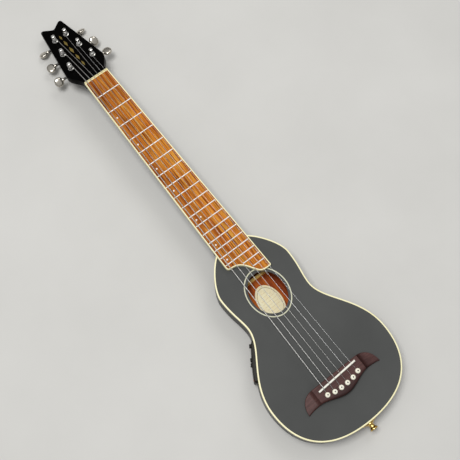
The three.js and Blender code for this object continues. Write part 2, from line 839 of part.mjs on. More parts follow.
// Fingerboard outline, from the nut's side round the curved end over the soundhole
const boardLow = bodyDepth + gap;
const boardHigh = boardLow + boardThickness;
const boardNutEndY = scaleLength - gap;
function boardOutline(nutEndY) {
  const bendRun = v2(Math.cos(boardBend), -Math.sin(boardBend)).multiplyScalar(boardBendHandle);
  const turnOver = v2(boardBendX, boardBendY);
  const bassHalf = boardHalf(boardBassEndY);
  const bassCornerX = -bassHalf + boardCorner;
  const trebleCurve = bezier(
    v2(boardFlatX, boardTrebleEndY),
    v2(boardFlatX - boardCurveHandle, boardTrebleEndY),
    turnOver.clone().add(bendRun),
    turnOver,
    boardCurveSteps,
  );
  const bassCurve = bezier(
    turnOver,
    turnOver.clone().sub(bendRun),
    v2(bassCornerX + boardCurveHandle, boardBassEndY),
    v2(bassCornerX, boardBassEndY),
    boardCurveSteps,
  );
  const corner = arc(
    v2(bassCornerX, boardBassEndY),
    v2(-bassHalf, boardBassEndY),
    v2(-boardHalf(boardBassEndY + boardCorner), boardBassEndY + boardCorner),
    boardCornerSteps,
  );
  return [
    v2(boardHalf(nutEndY), nutEndY),
    v2(boardHalf(boardTrebleEndY), boardTrebleEndY),
    ...trebleCurve,
    ...bassCurve.slice(1),
    ...corner.slice(1),
    v2(-boardHalf(nutEndY), nutEndY),
  ];
}
const boardSlab = (distance, nutEndY, low, high) =>
  slab(inset(boardOutline(nutEndY + distance), distance), low, high);
const coreInset = boardBinding + gap;

// Frets and dots each hang on a thin wire in the board's underside, so that a row is one piece
const fretNumbers = Array.from({ length: fretCount }, (unused, index) => index + 1);
const spaceMiddleY = (number) => (fretY(number) + fretY(number - 1)) / 2;
const keyHigh = boardLow + keyHeight;
const fretKey = (room) =>
  block(
    fretKeyX - keyWidth / 2 - room,
    fretKeyX + keyWidth / 2 + room,
    fretY(fretCount) - keyWidth - room,
    fretY(1) + keyWidth + room,
    boardLow - room,
    keyHigh + room,
  );
const spacingAt = (y) =>
  stringSpacingAtSaddle + (stringSpacingAtNut - stringSpacingAtSaddle) * (y / scaleLength);
const dotSpot = (number, share) =>
  v2(share * spacingAt(spaceMiddleY(number)), spaceMiddleY(number));
const dotKey = (room) => {
  const first = dotSpot(Math.max(...dotFrets), dotShare);
  const last = dotSpot(Math.min(...dotFrets), dotShare);
  const beyond = last.clone().sub(first).setLength(keyWidth + room);
  const wire = bar(
    first.sub(beyond),
    last.add(beyond),
    keyWidth + room * 2,
    boardLow - room,
    keyHigh + room,
  );
  const beside = dotSpot(doubleDotFret, dotShare);
  const link = block(
    beside.x - room,
    dotSpot(doubleDotFret, dotPairShare).x + room,
    beside.y - keyWidth / 2 - room,
    beside.y + keyWidth / 2 + room,
    boardLow - room,
    keyHigh + room,
  );
  return wire.add(link);
};
const dotSpots = [
  ...dotFrets.map((number) => dotSpot(number, dotShare)),
  dotSpot(doubleDotFret, dotPairShare),
];

function makeFingerboard() {
  const core = boardSlab(coreInset, boardNutEndY, boardLow, boardHigh);
  const slots = fretNumbers.map((number) => {
    const half = tangThickness / 2 + gap;
    const y = fretY(number);
    const across = boardHalf(y) + overrun;
    const saw = block(
      -across,
      across,
      y - half,
      y + half,
      boardHigh - tangDepth - gap,
      boardHigh + overrun,
    );
    const well = block(
      fretKeyX - keyWidth / 2 - gap,
      fretKeyX + keyWidth / 2 + gap,
      y - half,
      y + half,
      boardLow - overrun,
      boardHigh,
    );
    return saw.add(well);
  });
  const dots = dotSpots.map((spot) =>
    rod(dotRadius + gap, boardLow - overrun, boardHigh + overrun, dotSides).translate([
      spot.x,
      spot.y,
      0,
    ]),
  );
  const cuts = [...slots, ...dots, fretKey(gap), dotKey(gap)];
  return cuts.reduce((rest, cut) => rest.subtract(cut), core);
}

function makeBoardBinding() {
  const outer = boardSlab(0, boardNutEndY, boardLow, boardHigh);
  const inner = boardSlab(
    boardBinding,
    boardNutEndY + overrun,
    boardLow - overrun,
    boardHigh + overrun,
  );
  return outer.subtract(inner);
}

const crownLow = boardHigh + trimGap;
const fretTop = crownLow + fretCrownHeight;
function makeFrets() {
  const frets = fretNumbers.map((number) => {
    const y = fretY(number);
    const across = boardHalf(y);
    const crown = fretCrownShares.map(([wide, up]) =>
      v2(y + wide * fretCrownWidth, crownLow + up * fretCrownHeight),
    );
    const low = y - tangThickness / 2;
    const high = y + tangThickness / 2;
    const tangTop = crownLow + fretCrownHeight / 2;
    const tang = block(-across, across, low, high, boardHigh - tangDepth, tangTop);
    return profileAlongX(crown, -across, across).add(tang);
  });
  const stems = fretNumbers.map((number) =>
    block(
      fretKeyX - keyWidth / 2,
      fretKeyX + keyWidth / 2,
      fretY(number) - tangThickness / 2,
      fretY(number) + tangThickness / 2,
      boardLow,
      boardHigh,
    ),
  );
  const trimmed = frets
    .reduce((rest, fret) => rest.add(fret))
    .intersect(boardSlab(coreInset + fretEndInset, boardNutEndY, boardLow, fretTop + overrun));
  return stems.reduce((rest, stem) => rest.add(stem), trimmed).add(fretKey(0));
}

function makeDots() {
  const dots = dotSpots.map((spot) =>
    rod(dotRadius, boardLow, boardHigh, dotSides).translate([spot.x, spot.y, 0]),
  );
  return dots.reduce((rest, dot) => rest.add(dot), dotKey(0));
}

// Neck: a rounded shaft that deepens into the heel, with the headstock and a tenon
const headStartY = scaleLength + nutThickness;
const headDegrees = THREE.MathUtils.radToDeg(headAngle);
const atHead = (solid) =>
  solid.rotate([-headDegrees, 0, 0]).translate([0, headStartY, bodyDepth]);
const neckStartY = bodyEndY + gap;

function neckRing(share) {
  const y = neckStartY + share * (headStartY + neckIntoHead - neckStartY);
  const half = boardHalf(Math.min(y, scaleLength));
  const heel = Math.max(0, 1 - (y - neckStartY) / heelLength) ** heelCurvePower;
  const shaft = neckDepthAtHeel + share * (neckDepthAtNut - neckDepthAtHeel);
  const depth = shaft + heel * (heelDepth - shaft);
  const flat = heel * heelCapHalf;
  return Array.from({ length: neckSectionSides + 1 }, (unused, side) => {
    const angle = (Math.PI * side) / neckSectionSides;
    const across = Math.cos(angle);
    const reach = flat + (half - flat) * Math.abs(across) ** neckRoundPower;
    const x = Math.abs(across) < 1 / (neckSectionSides * 2) ? 0 : Math.sign(across) * reach;
    return v3(x, y, bodyDepth - depth * Math.sin(angle));
  });
}

function headOutline() {
  const tip = bezier(
    v2(0, headNotchS),
    v2(headNotchHandle, headNotchS + headNotchRise),
    v2(headTipX - headTipHandle, headTipS),
    v2(headTipX, headTipS),
    headCurveSteps,
  );
  const tipCorner = arc(
    v2(headTipX, headTipS),
    v2(headTopHalf, headTipS),
    v2(headTopHalf, headTopS),
    headCurveSteps,
  );
  const lowerCorner = arc(
    v2(headCornerHalf, headCornerS),
    v2(headCornerHalf, headCornerRoundS),
    v2(headShoulderX, headShoulderS),
    headCurveSteps,
  );
  const cove = bezier(
    v2(headShoulderX, headShoulderS),
    v2(headShoulderX - headShoulderHandle / 2, headShoulderS - headShoulderHandle),
    v2(headRootHalf, headRootS + headShoulderHandle),
    v2(headRootHalf, headRootS),
    headCurveSteps,
  );
  const half = [...tip, ...tipCorner.slice(1), ...lowerCorner, ...cove.slice(1)];
  half.push(v2(headRootHalf, 0));
  return [...half, ...mirrored(half.slice(1))];
}

function makeNeck() {
  const shaft = loft(neckSectionShares.map(neckRing));
  const tenon = block(
    -tenonHalf,
    tenonHalf,
    bodyEndY - tenonLength,
    neckStartY + overrun,
    tenonLow,
    tenonHigh,
  );
  const head = slab(headOutline(), -headThickness, 0);
  const aboveFace = block(
    -headCornerHalf,
    headCornerHalf,
    0,
    headTipS,
    0,
    headThickness,
  );
  const channel = block(
    -rodChannelHalf,
    rodChannelHalf,
    rodStartY - gap,
    rodEndY + gap,
    bodyDepth - rodChannelDepth,
    bodyDepth + overrun,
  );
  const holes = postX.map((x, index) =>
    rod(bushingRadius + gap, -headThickness - overrun, overrun, bushingSides).translate([
      x,
      postS[index],
      0,
    ]),
  );
  const drilled = holes.reduce((rest, hole) => rest.subtract(hole), head);
  return shaft
    .subtract(atHead(aboveFace))
    .add(tenon)
    .add(atHead(drilled))
    .subtract(channel);
}

// Truss rod: two rods one above the other, held together by a block at each end
function makeTrussRod() {
  const floor = bodyDepth - rodChannelDepth + gap;
  const half = rodChannelHalf - gap;
  const high = floor + 4 * rodRadius + gap;
  const oneRod = (z) =>
    rod(rodRadius, rodStartY, rodEndY, rodSides).rotate([-90, 0, 0]).translate([0, 0, z]);
  const endBlock = (y) => block(-half, half, y, y + rodBlockLength, floor, high);
  return oneRod(floor + rodRadius)
    .add(oneRod(high - rodRadius))
    .add(endBlock(rodStartY))
    .add(endBlock(rodEndY - rodBlockLength));
}

// The headstock's frame carries the tuning machines
const headstock = new THREE.Group();
headstock.position.set(0, headStartY, bodyDepth);
headstock.rotation.x = -headAngle;
headstock.updateMatrixWorld(true);
guitar.add(headstock);

const housingTop = -headThickness - gap;
const housingFloor = housingTop - housingHeight;
const wormZ = housingTop - wormDepth;
const gearLow = wormZ - gearHeight / 2;
const gearHigh = wormZ + gearHeight / 2;
const rodAlongX = (radius, from, to, sides) => {
  const ends = [from, to].sort((a, b) => a - b);
  return rod(radius, ...ends, sides).rotate([0, 90, 0]);
};
const atWorm = (solid) => solid.translate([0, wormOffset, wormZ]);

// A die-cast case with its bushing through the headstock and the nut on the face
function makeHousing(out) {
  const plan = [
    v2(-out * housingInner, -housingLow + housingBevel),
    v2(-out * (housingInner - housingBevel), -housingLow),
    v2(out * (housingOuter - housingBevel), -housingLow),
    v2(out * housingOuter, -housingLow + housingBevel),
    v2(out * housingOuter, housingHigh - housingBevel),
    v2(out * (housingOuter - housingBevel), housingHigh),
    v2(-out * (housingInner - housingBevel), housingHigh),
    v2(-out * housingInner, housingHigh - housingBevel),
  ];
  const nut = turned(
    [
      [0, gap],
      [bushingNutRadius, gap],
      [bushingNutRadius, gap + bushingNutHeight - bushingNutBevel],
      [bushingNutRadius - bushingNutBevel, gap + bushingNutHeight],
      [0, gap + bushingNutHeight],
    ],
    bushingSides,
  );
  const bushing = rod(bushingRadius, housingTop - overrun, gap + bushingNutBevel, bushingSides);
  const collarStart = out * (housingOuter - housingBevel);
  const collarEnd = out * (housingOuter + collarLength);
  const collar = atWorm(rodAlongX(collarRadius, collarStart, collarEnd, bushingSides));
  const postBore = rod(postRadius + gap, wormZ, gap + bushingNutHeight + overrun, bushingSides);
  const gearRoom = rod(gearRadius + gap, gearLow - gap, gearHigh + gap, bushingSides);
  const wormEnd = -out * (wormLength / 2 + gap);
  const shaftEnd = out * (housingOuter + collarLength + overrun);
  const shaftBore = atWorm(rodAlongX(shaftRadius + gap, wormEnd, shaftEnd, bushingSides));
  return slab(plan, housingFloor, housingTop)
    .add(nut)
    .add(bushing)
    .add(collar)
    .subtract(postBore)
    .subtract(gearRoom)
    .subtract(shaftBore);
}

// The string post with the worm wheel at its foot
function makePost() {
  const profile = [
    [0, gearLow],
    [gearRadius, gearLow],
    [gearRadius, gearHigh],
    [postRadius, gearHigh],
    [postRadius, postWaistLow],
    [postWaistRadius, postWaistLow],
    [postWaistRadius, postWaistHigh],
    [postRadius, postWaistHigh],
    [postRadius, postTop - postBevel],
    [postRadius - postBevel, postTop],
    [0, postTop],
  ];
  return turned(profile, postFacets);
}

// The button on its shaft, with the worm at the shaft's inner end
function makeButton(out) {
  const knob = new THREE.SphereGeometry(1, buttonSides, buttonRows);
  knob.rotateZ(Math.PI / 2);
  knob.scale(buttonHalfLength, buttonHalfWidth, buttonHalfThickness);
  knob.translate(out * buttonDistance, 0, 0);
  const worm = rodAlongX(wormRadius, (-out * wormLength) / 2, (out * wormLength) / 2, rodSides);
  const stemEnd = out * (buttonDistance - buttonHalfLength + overrun);
  const shaft = rodAlongX(shaftRadius, (out * (wormLength - wormRadius)) / 2, stemEnd, postFacets);
  const ferruleStart = out * (buttonDistance - buttonHalfLength - buttonStem);
  const ferrule = rodAlongX(collarRadius, ferruleStart, stemEnd, postFacets);
  return solidOf(knob).add(worm).add(shaft).add(ferrule);
}

// A closed tube along a list of points, with a radius at each point
function tube(points, radii, sides) {
  const count = points.length;
  const directions = points.map((point, index) => {
    const before = points[Math.max(index - 1, 0)];
    const after = points[Math.min(index + 1, count - 1)];
    const back = point.clone().sub(before).normalize();
    const on = after.clone().sub(point).normalize();
    return back.add(on).normalize();
  });
  const across = v3(1, 0, 0);
  const rings = points.map((point, index) => {
    const along = directions[index];
    across.addScaledVector(along, -across.dot(along)).normalize();
    const up = along.clone().cross(across);
    return Array.from({ length: sides }, (unused, side) => {
      const angle = (2 * Math.PI * side) / sides;
      return point
        .clone()
        .addScaledVector(across, Math.cos(angle) * radii[index])
        .addScaledVector(up, Math.sin(angle) * radii[index]);
    });
  });
  return loft(rings);
}

// Where a string turns onto its post: tangent point and start angle, in the headstock's frame
function windingStart(index) {
  const radius = postWaistRadius + gap + stringDiameters[index] / 2;
  const centre = v2(postX[index], postS[index]);
  const nutPoint = v2(stringX(index, stringSpacingAtNut), -nutThickness);
  const toPost = centre.clone().sub(nutPoint);
  const inward = -Math.sign(postX[index]);
  const lean = Math.asin(radius / toPost.length());
  const run = Math.sqrt(toPost.lengthSq() - radius * radius);
  const direction = toPost.normalize().rotateAround(v2(0, 0), -inward * lean);
  const touch = nutPoint.addScaledVector(direction, run);
  const angle = touch.clone().sub(centre).angle();
  const height = postWaistLow + gap + stringDiameters[index] / 2;
  return { radius, centre, touch, angle, height, inward };
}
const fromHead = (x, s, height) => headstock.localToWorld(v3(x, s, height));

// The winding climbs the post's waist at a steady pitch
function windingPoints(index) {
  const start = windingStart(index);
  const steps = windingTurns[index] * windingSteps;
  const climb = (stringDiameters[index] + windingSpace) / windingSteps;
  return Array.from({ length: steps + 1 }, (unused, step) => {
    const angle = start.angle + (start.inward * 2 * Math.PI * step) / windingSteps;
    return fromHead(
      start.centre.x + start.radius * Math.cos(angle),
      start.centre.y + start.radius * Math.sin(angle),
      start.height + step * climb,
    );
  });
}

// Points of a string that bends over a round edge, in the plane at one x
function stringBend(centre, reach, from, to, x) {
  return Array.from({ length: stringBendSteps + 1 }, (unused, step) => {
    const angle = from + ((to - from) * step) / stringBendSteps;
    return v3(x, centre.x + reach * Math.cos(angle), centre.y + reach * Math.sin(angle));
  });
}

// Route of a string: ball end, up through the bridge, over saddle and nut, and round its post
function stringRoute(index) {
  const radius = stringDiameters[index] / 2;
  const x = pinX(index);
  const riseY = pinRows[index] + stringFromPin(index);
  const ballTop = insideHigh - bridgePlateThickness - gap;
  const onSaddleX = stringX(index, stringSpacingAtSaddle) + saddleShift;
  const edge = radius + gap;
  const overSaddle = saddleCrown + edge;
  const edgeCentre = v2(riseY + edge, bridgeHigh);
  const saddleCentre = v2(saddleY(onSaddleX), saddleTop - saddleCrown);
  const between = saddleCentre.clone().sub(edgeCentre);
  const climb = between.angle() + Math.asin((overSaddle - edge) / between.length());
  const onEdge = stringBend(edgeCentre, edge, Math.PI, Math.PI / 2 + climb, x);
  const onSaddle = stringBend(saddleCentre, overSaddle, Math.PI / 2 + climb, Math.PI / 2, onSaddleX);
  const onNut = v3(
    stringX(index, stringSpacingAtNut),
    scaleLength,
    fretTop + stringAboveFretsAtNut + radius,
  );
  const start = v3(x, riseY, ballTop - ballLength);
  const ball = [start, v3(x, riseY, ballTop - ballRadius / 2)];
  const cord = [v3(x, riseY, ballTop), ...onEdge, ...onSaddle, onNut, ...windingPoints(index)];
  const radii = [...ball.map(() => ballRadius), ...cord.map(() => radius)];
  return { points: [...ball, ...cord], radii, onNut };
}

// Least clear distance between a winding's turns and to the string that runs onto it
function leastGap(index) {
  const { onNut } = stringRoute(index);
  const coil = windingPoints(index);
  const lead = Array.from({ length: windingSteps * 2 }, (unused, step) =>
    coil[0].clone().lerp(onNut, step / (windingSteps * leadSpread)),
  ).reverse();
  const line = [...lead, ...coil];
  const apart = windingSteps / 2;
  const clear = line.flatMap((point, place) =>
    line.slice(place + apart).map((other) => point.distanceTo(other)),
  );
  return Math.min(...clear) - stringDiameters[index];
}

// Nut: a strip across the board's end with a sloping slot for each string
function makeNut() {
  const half = boardHalf(scaleLength);
  const top = fretTop + nutAboveFrets;
  const strip = block(-half, half, scaleLength, scaleLength + nutThickness, boardLow, top);
  const slots = stringNames.map((name, index) => {
    const { onNut } = stringRoute(index);
    const fall = onNut.clone().sub(windingPoints(index)[0]);
    const slope = THREE.MathUtils.radToDeg(Math.atan2(fall.z, -fall.y));
    const yaw = THREE.MathUtils.radToDeg(Math.atan2(fall.x, -fall.y));
    const reach = stringDiameters[index] / 2 + gap;
    const floor = onNut.z - reach;
    const cutter = block(-reach, reach, -nutThickness, 2 * nutThickness, 0, nutThickness);
    return cutter.rotate([-slope, 0, yaw]).translate([onNut.x, scaleLength, floor]);
  });
  return slots.reduce((rest, slot) => rest.subtract(slot), strip);
}

// Preamp: a moulded panel that follows the side, with its case inside the body
const preamp = new THREE.Group();
preamp.position.set(-preampSpot.x, preampSpot.y, 0);
preamp.rotation.z = preampTurn;
guitar.add(preamp);

function makePreamp() {
  const across = v2(panelHalfLength, (panelHigh - panelLow) / 2);
  const rounded = arc(
    v2(across.x - panelRound, across.y),
    v2(across.x, across.y),
    v2(across.x, across.y - panelRound),
    panelRoundSteps,
  );
  const upper = [...rounded, ...rounded.map((point) => v2(point.x, -point.y)).reverse()];
  const plan = [...upper, ...mirrored(upper)];
  const middleZ = (panelHigh + panelLow) / 2;
  const lifted = plan.map((point) => v2(point.x, point.y + middleZ));
  const bow = panelFaceShares.map(([along, out]) =>
    v2(out * panelProud, along * panelHalfLength),
  );
  const flipped = bow.map((point) => v2(point.x, -point.y)).reverse();
  const back = [v2(-panelSink, panelHalfLength), v2(-panelSink, -panelHalfLength)];
  const bowed = slab([...bow, ...back, ...flipped], panelLow, panelHigh);
  const panel = profileAlongX(lifted, -panelSink, panelProud).intersect(bowed);
  const bodyRoom = bodySlab(-gap, -overrun, bodyDepth + overrun);
  const box = block(
    -caseDepth,
    knobSeat,
    -caseHalfLength,
    caseHalfLength,
    caseLow,
    caseHigh,
  );
  const bores = Object.values(knobPlaces).map((y) => {
    const stemFloor = knobSeat - knobStemDepth - gap;
    const stemBore = rodAlongX(knobStemRadius + gap, stemFloor, knobSeat + gap, knobSides);
    const recess = rodAlongX(knobRadius + gap, knobSeat, panelProud + overrun, knobSides);
    return stemBore.add(recess).translate([0, y, knobZ]);
  });
  const module = atPreamp(panel).subtract(bodyRoom).add(atPreamp(box));
  return bores.reduce((rest, bore) => rest.subtract(atPreamp(bore)), module);
}

function makeKnob() {
  const profile = [
    [0, -knobStemDepth],
    [knobStemRadius, -knobStemDepth],
    [knobStemRadius, 0],
    [knobRadius, 0],
    [knobRadius, knobHeight - knobBevel],
    [knobRadius - knobBevel, knobHeight],
    [0, knobHeight],
  ];
  return turned(profile, knobSides);
}

// Endpin jack: a threaded barrel through the tail block, with a strap flange and a socket
function makeJack() {
  const plateTop = gap + plateThickness;
  const collarLow = plateTop + gap;
  const collarHigh = collarLow + jackCollarThickness;
  const flangeLow = jackReach - jackFlangeThickness;
  const bevel = jackFlangeRadius - jackNeckRadius;
  const profile = [
    [0, -barrelInside],
    [barrelRadius, -barrelInside],
    [barrelRadius, collarLow],
    [jackCollarRadius, collarLow],
    [jackCollarRadius, collarHigh],
    [jackNeckRadius, collarHigh + bevel / 2],
    [jackNeckRadius, flangeLow - bevel],
    [jackFlangeRadius, flangeLow],
    [jackFlangeRadius, jackReach - bevel / 4],
    [jackFlangeRadius - bevel / 4, jackReach],
    [socketRadius, jackReach],
    [socketRadius, jackReach - socketDepth],
    [0, jackReach - socketDepth],
  ];
  return alongBody(turned(profile, jackSides));
}

function makeJackPlate() {
  const high = gap + plateThickness;
  const plate = slab(ellipse(plateHalfWidth, plateHalfHeight, 0, jackSides), gap, high);
  const screw = (x) =>
    turned(
      [
        [0, high - plateThickness / 2],
        [plateScrewRadius, high - plateThickness / 2],
        [plateScrewRadius, high + plateScrewHeight / 2],
        [plateScrewRadius / 2, high + plateScrewHeight],
        [0, high + plateScrewHeight],
      ],
      dotSides,
    ).translate([x, 0, 0]);
  const hole = rod(barrelRadius + gap, gap - overrun, high + overrun, jackSides);
  return alongBody(plate.subtract(hole).add(screw(plateScrewX)).add(screw(-plateScrewX)));
}

// Assembly
const sides = makeSides();
addPiece('soundboard', makeSoundboard(), charcoalLacquer());
addPiece('back_plate', bodySlab(0, 0, backThickness), mahogany());
addPiece('bass_side', sides.bass_side, blackLacquer());
addPiece('treble_side', sides.treble_side, blackLacquer());
addPiece('neck_block', makeNeckBlock(), mahogany());
addPiece('tail_block', makeTailBlock(), mahogany());
addPiece('top_lining', makeLining(insideHigh - liningHeight, insideHigh), spruce());
addPiece('back_lining', makeLining(insideLow, insideLow + liningHeight), spruce());
const bindingLow = bodyDepth - bindingHeight;
addPiece('top_binding', bodyRing(0, bindingWidth, bindingLow, bodyDepth), creamPlastic());
addPiece('rosette', makeRosette(), creamPlastic());
addPiece('top_bracing', makeTopBracing(), spruce());
for (const [name, y] of Object.entries(backBracePlaces)) {
  addPiece(name, makeBackBrace(y), spruce());
}
addPiece('bridge_plate', makeBridgePlate(), mahogany());
addPiece('bridge', makeBridge(), rosewood());
addPiece('saddle', makeSaddle(), bone()).rotation.z = saddleSlant;
addPiece('neck', makeNeck(), blackLacquer());
addPiece('truss_rod', makeTrussRod(), steel());
addPiece('fingerboard', makeFingerboard(), orangeRosewood());
addPiece('fingerboard_binding', makeBoardBinding(), creamPlastic());
addPiece('frets', makeFrets(), nickel());
addPiece('dot_inlays', makeDots(), pearl());
addPiece('nut', makeNut(), bone());
addPiece('preamp', makePreamp(), blackPlastic());
addPiece('endpin_jack', makeJack(), brass());
addPiece('endpin_plate', makeJackPlate(), brass());

for (const [name, y] of Object.entries(knobPlaces)) {
  const knob = addPiece(name, makeKnob(), blackPlastic(), preamp);
  knob.position.set(knobSeat + gap, y, knobZ);
  knob.rotation.y = Math.PI / 2;
}

for (const [index, name] of stringNames.entries()) {
  const pin = addPiece(`bridge_pin_${name}`, makePin(), creamPlastic());
  pin.position.set(pinX(index), pinRows[index], bridgeHigh + gap);
  const route = stringRoute(index);
  addPiece(`string_${name}`, tube(route.points, route.radii, stringSides), steel());
  console.log(`string_${name} least gap in its winding: ${leastGap(index).toFixed(2)} mm`);

  const out = Math.sign(postX[index]);
  const housing = addPiece(`tuner_${name}_housing`, makeHousing(out), chrome(), headstock);
  housing.position.set(postX[index], postS[index], 0);
  const post = addPiece(`tuner_${name}_post`, makePost(), chrome(), headstock);
  post.position.set(postX[index], postS[index], 0);
  const button = addPiece(`tuner_${name}_button`, makeButton(out), chrome(), headstock);
  button.position.set(postX[index], postS[index] + wormOffset, wormZ);
  button.rotation.x = THREE.MathUtils.degToRad(buttonTurnDegrees[index]);
}

export default guitar;
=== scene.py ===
"""A small travel guitar with a figure-eight body, an oval soundhole and a forked headstock.

Shapes are worked out in millimetres in the part's frame: X to the treble side, Y to the
headstock, Z out of the soundboard, with the origin on the back under the saddle. Each piece
is turned into metres when its mesh is made.
"""

import bmesh
import bpy
import numpy as np
from mathutils import Matrix


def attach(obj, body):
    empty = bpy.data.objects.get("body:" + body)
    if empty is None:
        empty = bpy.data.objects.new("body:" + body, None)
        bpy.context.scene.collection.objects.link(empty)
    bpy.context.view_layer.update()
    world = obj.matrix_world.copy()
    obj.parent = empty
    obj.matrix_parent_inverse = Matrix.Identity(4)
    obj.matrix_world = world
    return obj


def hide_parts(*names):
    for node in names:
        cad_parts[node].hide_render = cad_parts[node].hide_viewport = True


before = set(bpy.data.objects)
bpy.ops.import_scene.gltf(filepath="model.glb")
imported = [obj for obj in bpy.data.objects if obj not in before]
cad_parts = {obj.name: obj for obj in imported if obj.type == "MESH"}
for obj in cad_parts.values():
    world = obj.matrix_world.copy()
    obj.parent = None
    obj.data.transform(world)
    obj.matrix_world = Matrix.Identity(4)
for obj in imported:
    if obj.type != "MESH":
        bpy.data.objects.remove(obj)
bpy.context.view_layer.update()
MM = 0.001


# Camera: a short telephoto held above the lower bout, so the neck runs to the top left.
# Its place and its three axes were worked out from the places of the frets in the picture.
def stood(thing, place, axes):
    """Puts a camera or lamp at a place in metres, its own X, Y and Z along three axes."""
    bpy.context.scene.collection.objects.link(thing)
    turn = Matrix(np.array(axes).T.tolist()).to_4x4()
    thing.matrix_world = Matrix.Translation(place) @ turn


camera_eye = np.array([-216.5, -13.1, 1200.7]) * MM
camera_right = (0.792615, -0.609668, 0.008120)
camera_up = (0.579594, 0.757517, 0.300399)
camera_back = (-0.189294, -0.233395, 0.953779)
camera_data = bpy.data.cameras.new("studio_camera")
camera_data.sensor_width = 36.0
camera_data.lens = 62.083
camera = bpy.data.objects.new("studio_camera", camera_data)
stood(camera, camera_eye, (camera_right, camera_up, camera_back))
bpy.context.scene.camera = camera
bpy.context.scene.view_settings.view_transform = "Standard"


# Floor: a pale grey painted surface. The guitar lies on its tail edge and on its lowest tuner
# buttons, so the floor leans by about a degree, with a little room for a button to turn in.
def tint(red, green, blue):
    """The linear colour of a screen colour: each part over 255, raised to the power 2.2."""
    return tuple((np.array([red, green, blue]) / 255.0) ** 2.2)


def finish(name, colour, roughness, **sockets):
    """A named finish: one Principled shader, with every even value on its own socket."""
    material = bpy.data.materials.new(name)
    material.use_nodes = True
    shader = material.node_tree.nodes["Principled BSDF"]
    shader.inputs["Base Color"].default_value = (*colour, 1.0)
    shader.inputs["Roughness"].default_value = roughness
    for socket, value in sockets.items():
        shader.inputs[socket.replace("_", " ")].default_value = value
    return material


def feed(material, kind, settings=None, **inputs):
    """Adds one node. Inputs are set by name, or linked where the value is another socket."""
    made = material.node_tree.nodes.new(kind)
    for name, value in (settings or {}).items():
        setattr(made, name, value)
    for name, value in inputs.items():
        socket = made.inputs[name.replace("_", " ")]
        if isinstance(value, bpy.types.NodeSocket):
            material.node_tree.links.new(value, socket)
        else:
            socket.default_value = value
    return made


def into_shader(material, socket, source):
    """Leads a socket into the finish's shader."""
    shader = material.node_tree.nodes["Principled BSDF"]
    material.node_tree.links.new(source, shader.inputs[socket])


def piece_places(material, stretch=(1.0, 1.0, 1.0), turn=(0.0, 0.0, 0.0)):
    """The point on the piece in metres, turned and stretched by a Mapping node."""
    place = feed(material, "ShaderNodeTexCoord")
    mapping = feed(material, "ShaderNodeMapping", Vector=place.outputs["Object"])
    mapping.inputs["Scale"].default_value = stretch
    mapping.inputs["Rotation"].default_value = turn
    return mapping.outputs["Vector"]


def clouds(material, places, scale, **settings):
    """Soft noise of about one lump per 1/scale metres of the stretched places."""
    settings = {"Detail": 4.0, "Roughness": 0.55, **settings}
    return feed(
        material, "ShaderNodeTexNoise", Vector=places, Scale=scale, **settings
    ).outputs["Fac"]


def shades(material, source, *stops):
    """Colours picked along a ramp: each stop is a place from 0 to 1 and a linear colour."""
    ramp = feed(material, "ShaderNodeValToRGB", Fac=source)
    elements = ramp.color_ramp.elements
    while len(elements) < len(stops):
        elements.new(0.5)
    for element, (place, colour) in zip(elements, stops):
        element.position = place
        element.color = (*colour, 1.0)
    return ramp.outputs["Color"]


def levels(material, source, low, high):
    """The source's range from 0 to 1 carried on to the range from low to high."""
    made = feed(material, "ShaderNodeMapRange", Value=source, To_Min=low, To_Max=high)
    return made.outputs["Result"]


def relief(material, height, depth, strength):
    """Bumps of a depth in metres from a height that runs from 0 to 1."""
    bump = feed(material, "ShaderNodeBump", Height=height, Distance=depth, Strength=strength)
    into_shader(material, "Normal", bump.outputs["Normal"])


def mottled(
    name, colour, dark, light, roughness, scale, detail=4.0, stretch=(1.0, 1.0, 1.0),
    edge=0.3, span=None, dent=None, **sockets
):
    """A finish that drifts between two screen colours in soft clouds.

    edge is where the ramp leaves the dark shade, and it reaches the light one at 1 - edge.
    span is the roughness's own range, and dent the clouds' depth in metres and strength.
    """
    material = finish(name, tint(*colour), roughness, **sockets)
    drift = clouds(material, piece_places(material, stretch), scale, Detail=detail)
    tone = shades(material, drift, (edge, tint(*dark)), (1.0 - edge, tint(*light)))
    into_shader(material, "Base Color", tone)
    if span:
        into_shader(material, "Roughness", levels(material, drift, *span))
    if dent:
        relief(material, drift, *dent)
    return material


solid_points = [np.array([v.co for v in o.data.vertices]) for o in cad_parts.values()]
solid_points = np.vstack(solid_points)
back_layer, under_level, button_room = 1.0, -0.1, 1.1
tail_edge = solid_points[solid_points[:, 2] < back_layer * MM][:, 1].min()
under_back = solid_points[solid_points[:, 2] < under_level * MM]
lean = ((button_room * MM - under_back[:, 2]) / (under_back[:, 1] - tail_edge)).max()
floor_reach = 6.0
floor_mesh = bpy.data.meshes.new("floor")
corners = np.array([[-1, -1], [1, -1], [1, 1], [-1, 1]]) * floor_reach
floor_corners = [(x, y, -lean * (y - tail_edge)) for x, y in corners]
floor_mesh.from_pydata(floor_corners, [], [(0, 1, 2, 3)])
floor = bpy.data.objects.new("floor", floor_mesh)
bpy.context.scene.collection.objects.link(floor)
floor_paint = mottled(
    "pale_floor_paint", (208, 207, 203), (205, 204, 200), (211, 210, 206), 0.8,
    scale=5.0, detail=6.0, Specular_IOR_Level=0.2,
)
floor_mesh.materials.append(floor_paint)


# Lamps: a strong soft lamp nearly overhead and a weaker one on the treble side, placed so that
# the flat top doesn't mirror them to the camera, under a pale ceiling with darker walls.
def unit(vectors):
    """Each vector over its own length."""
    return vectors / np.linalg.norm(vectors, axis=-1, keepdims=True)


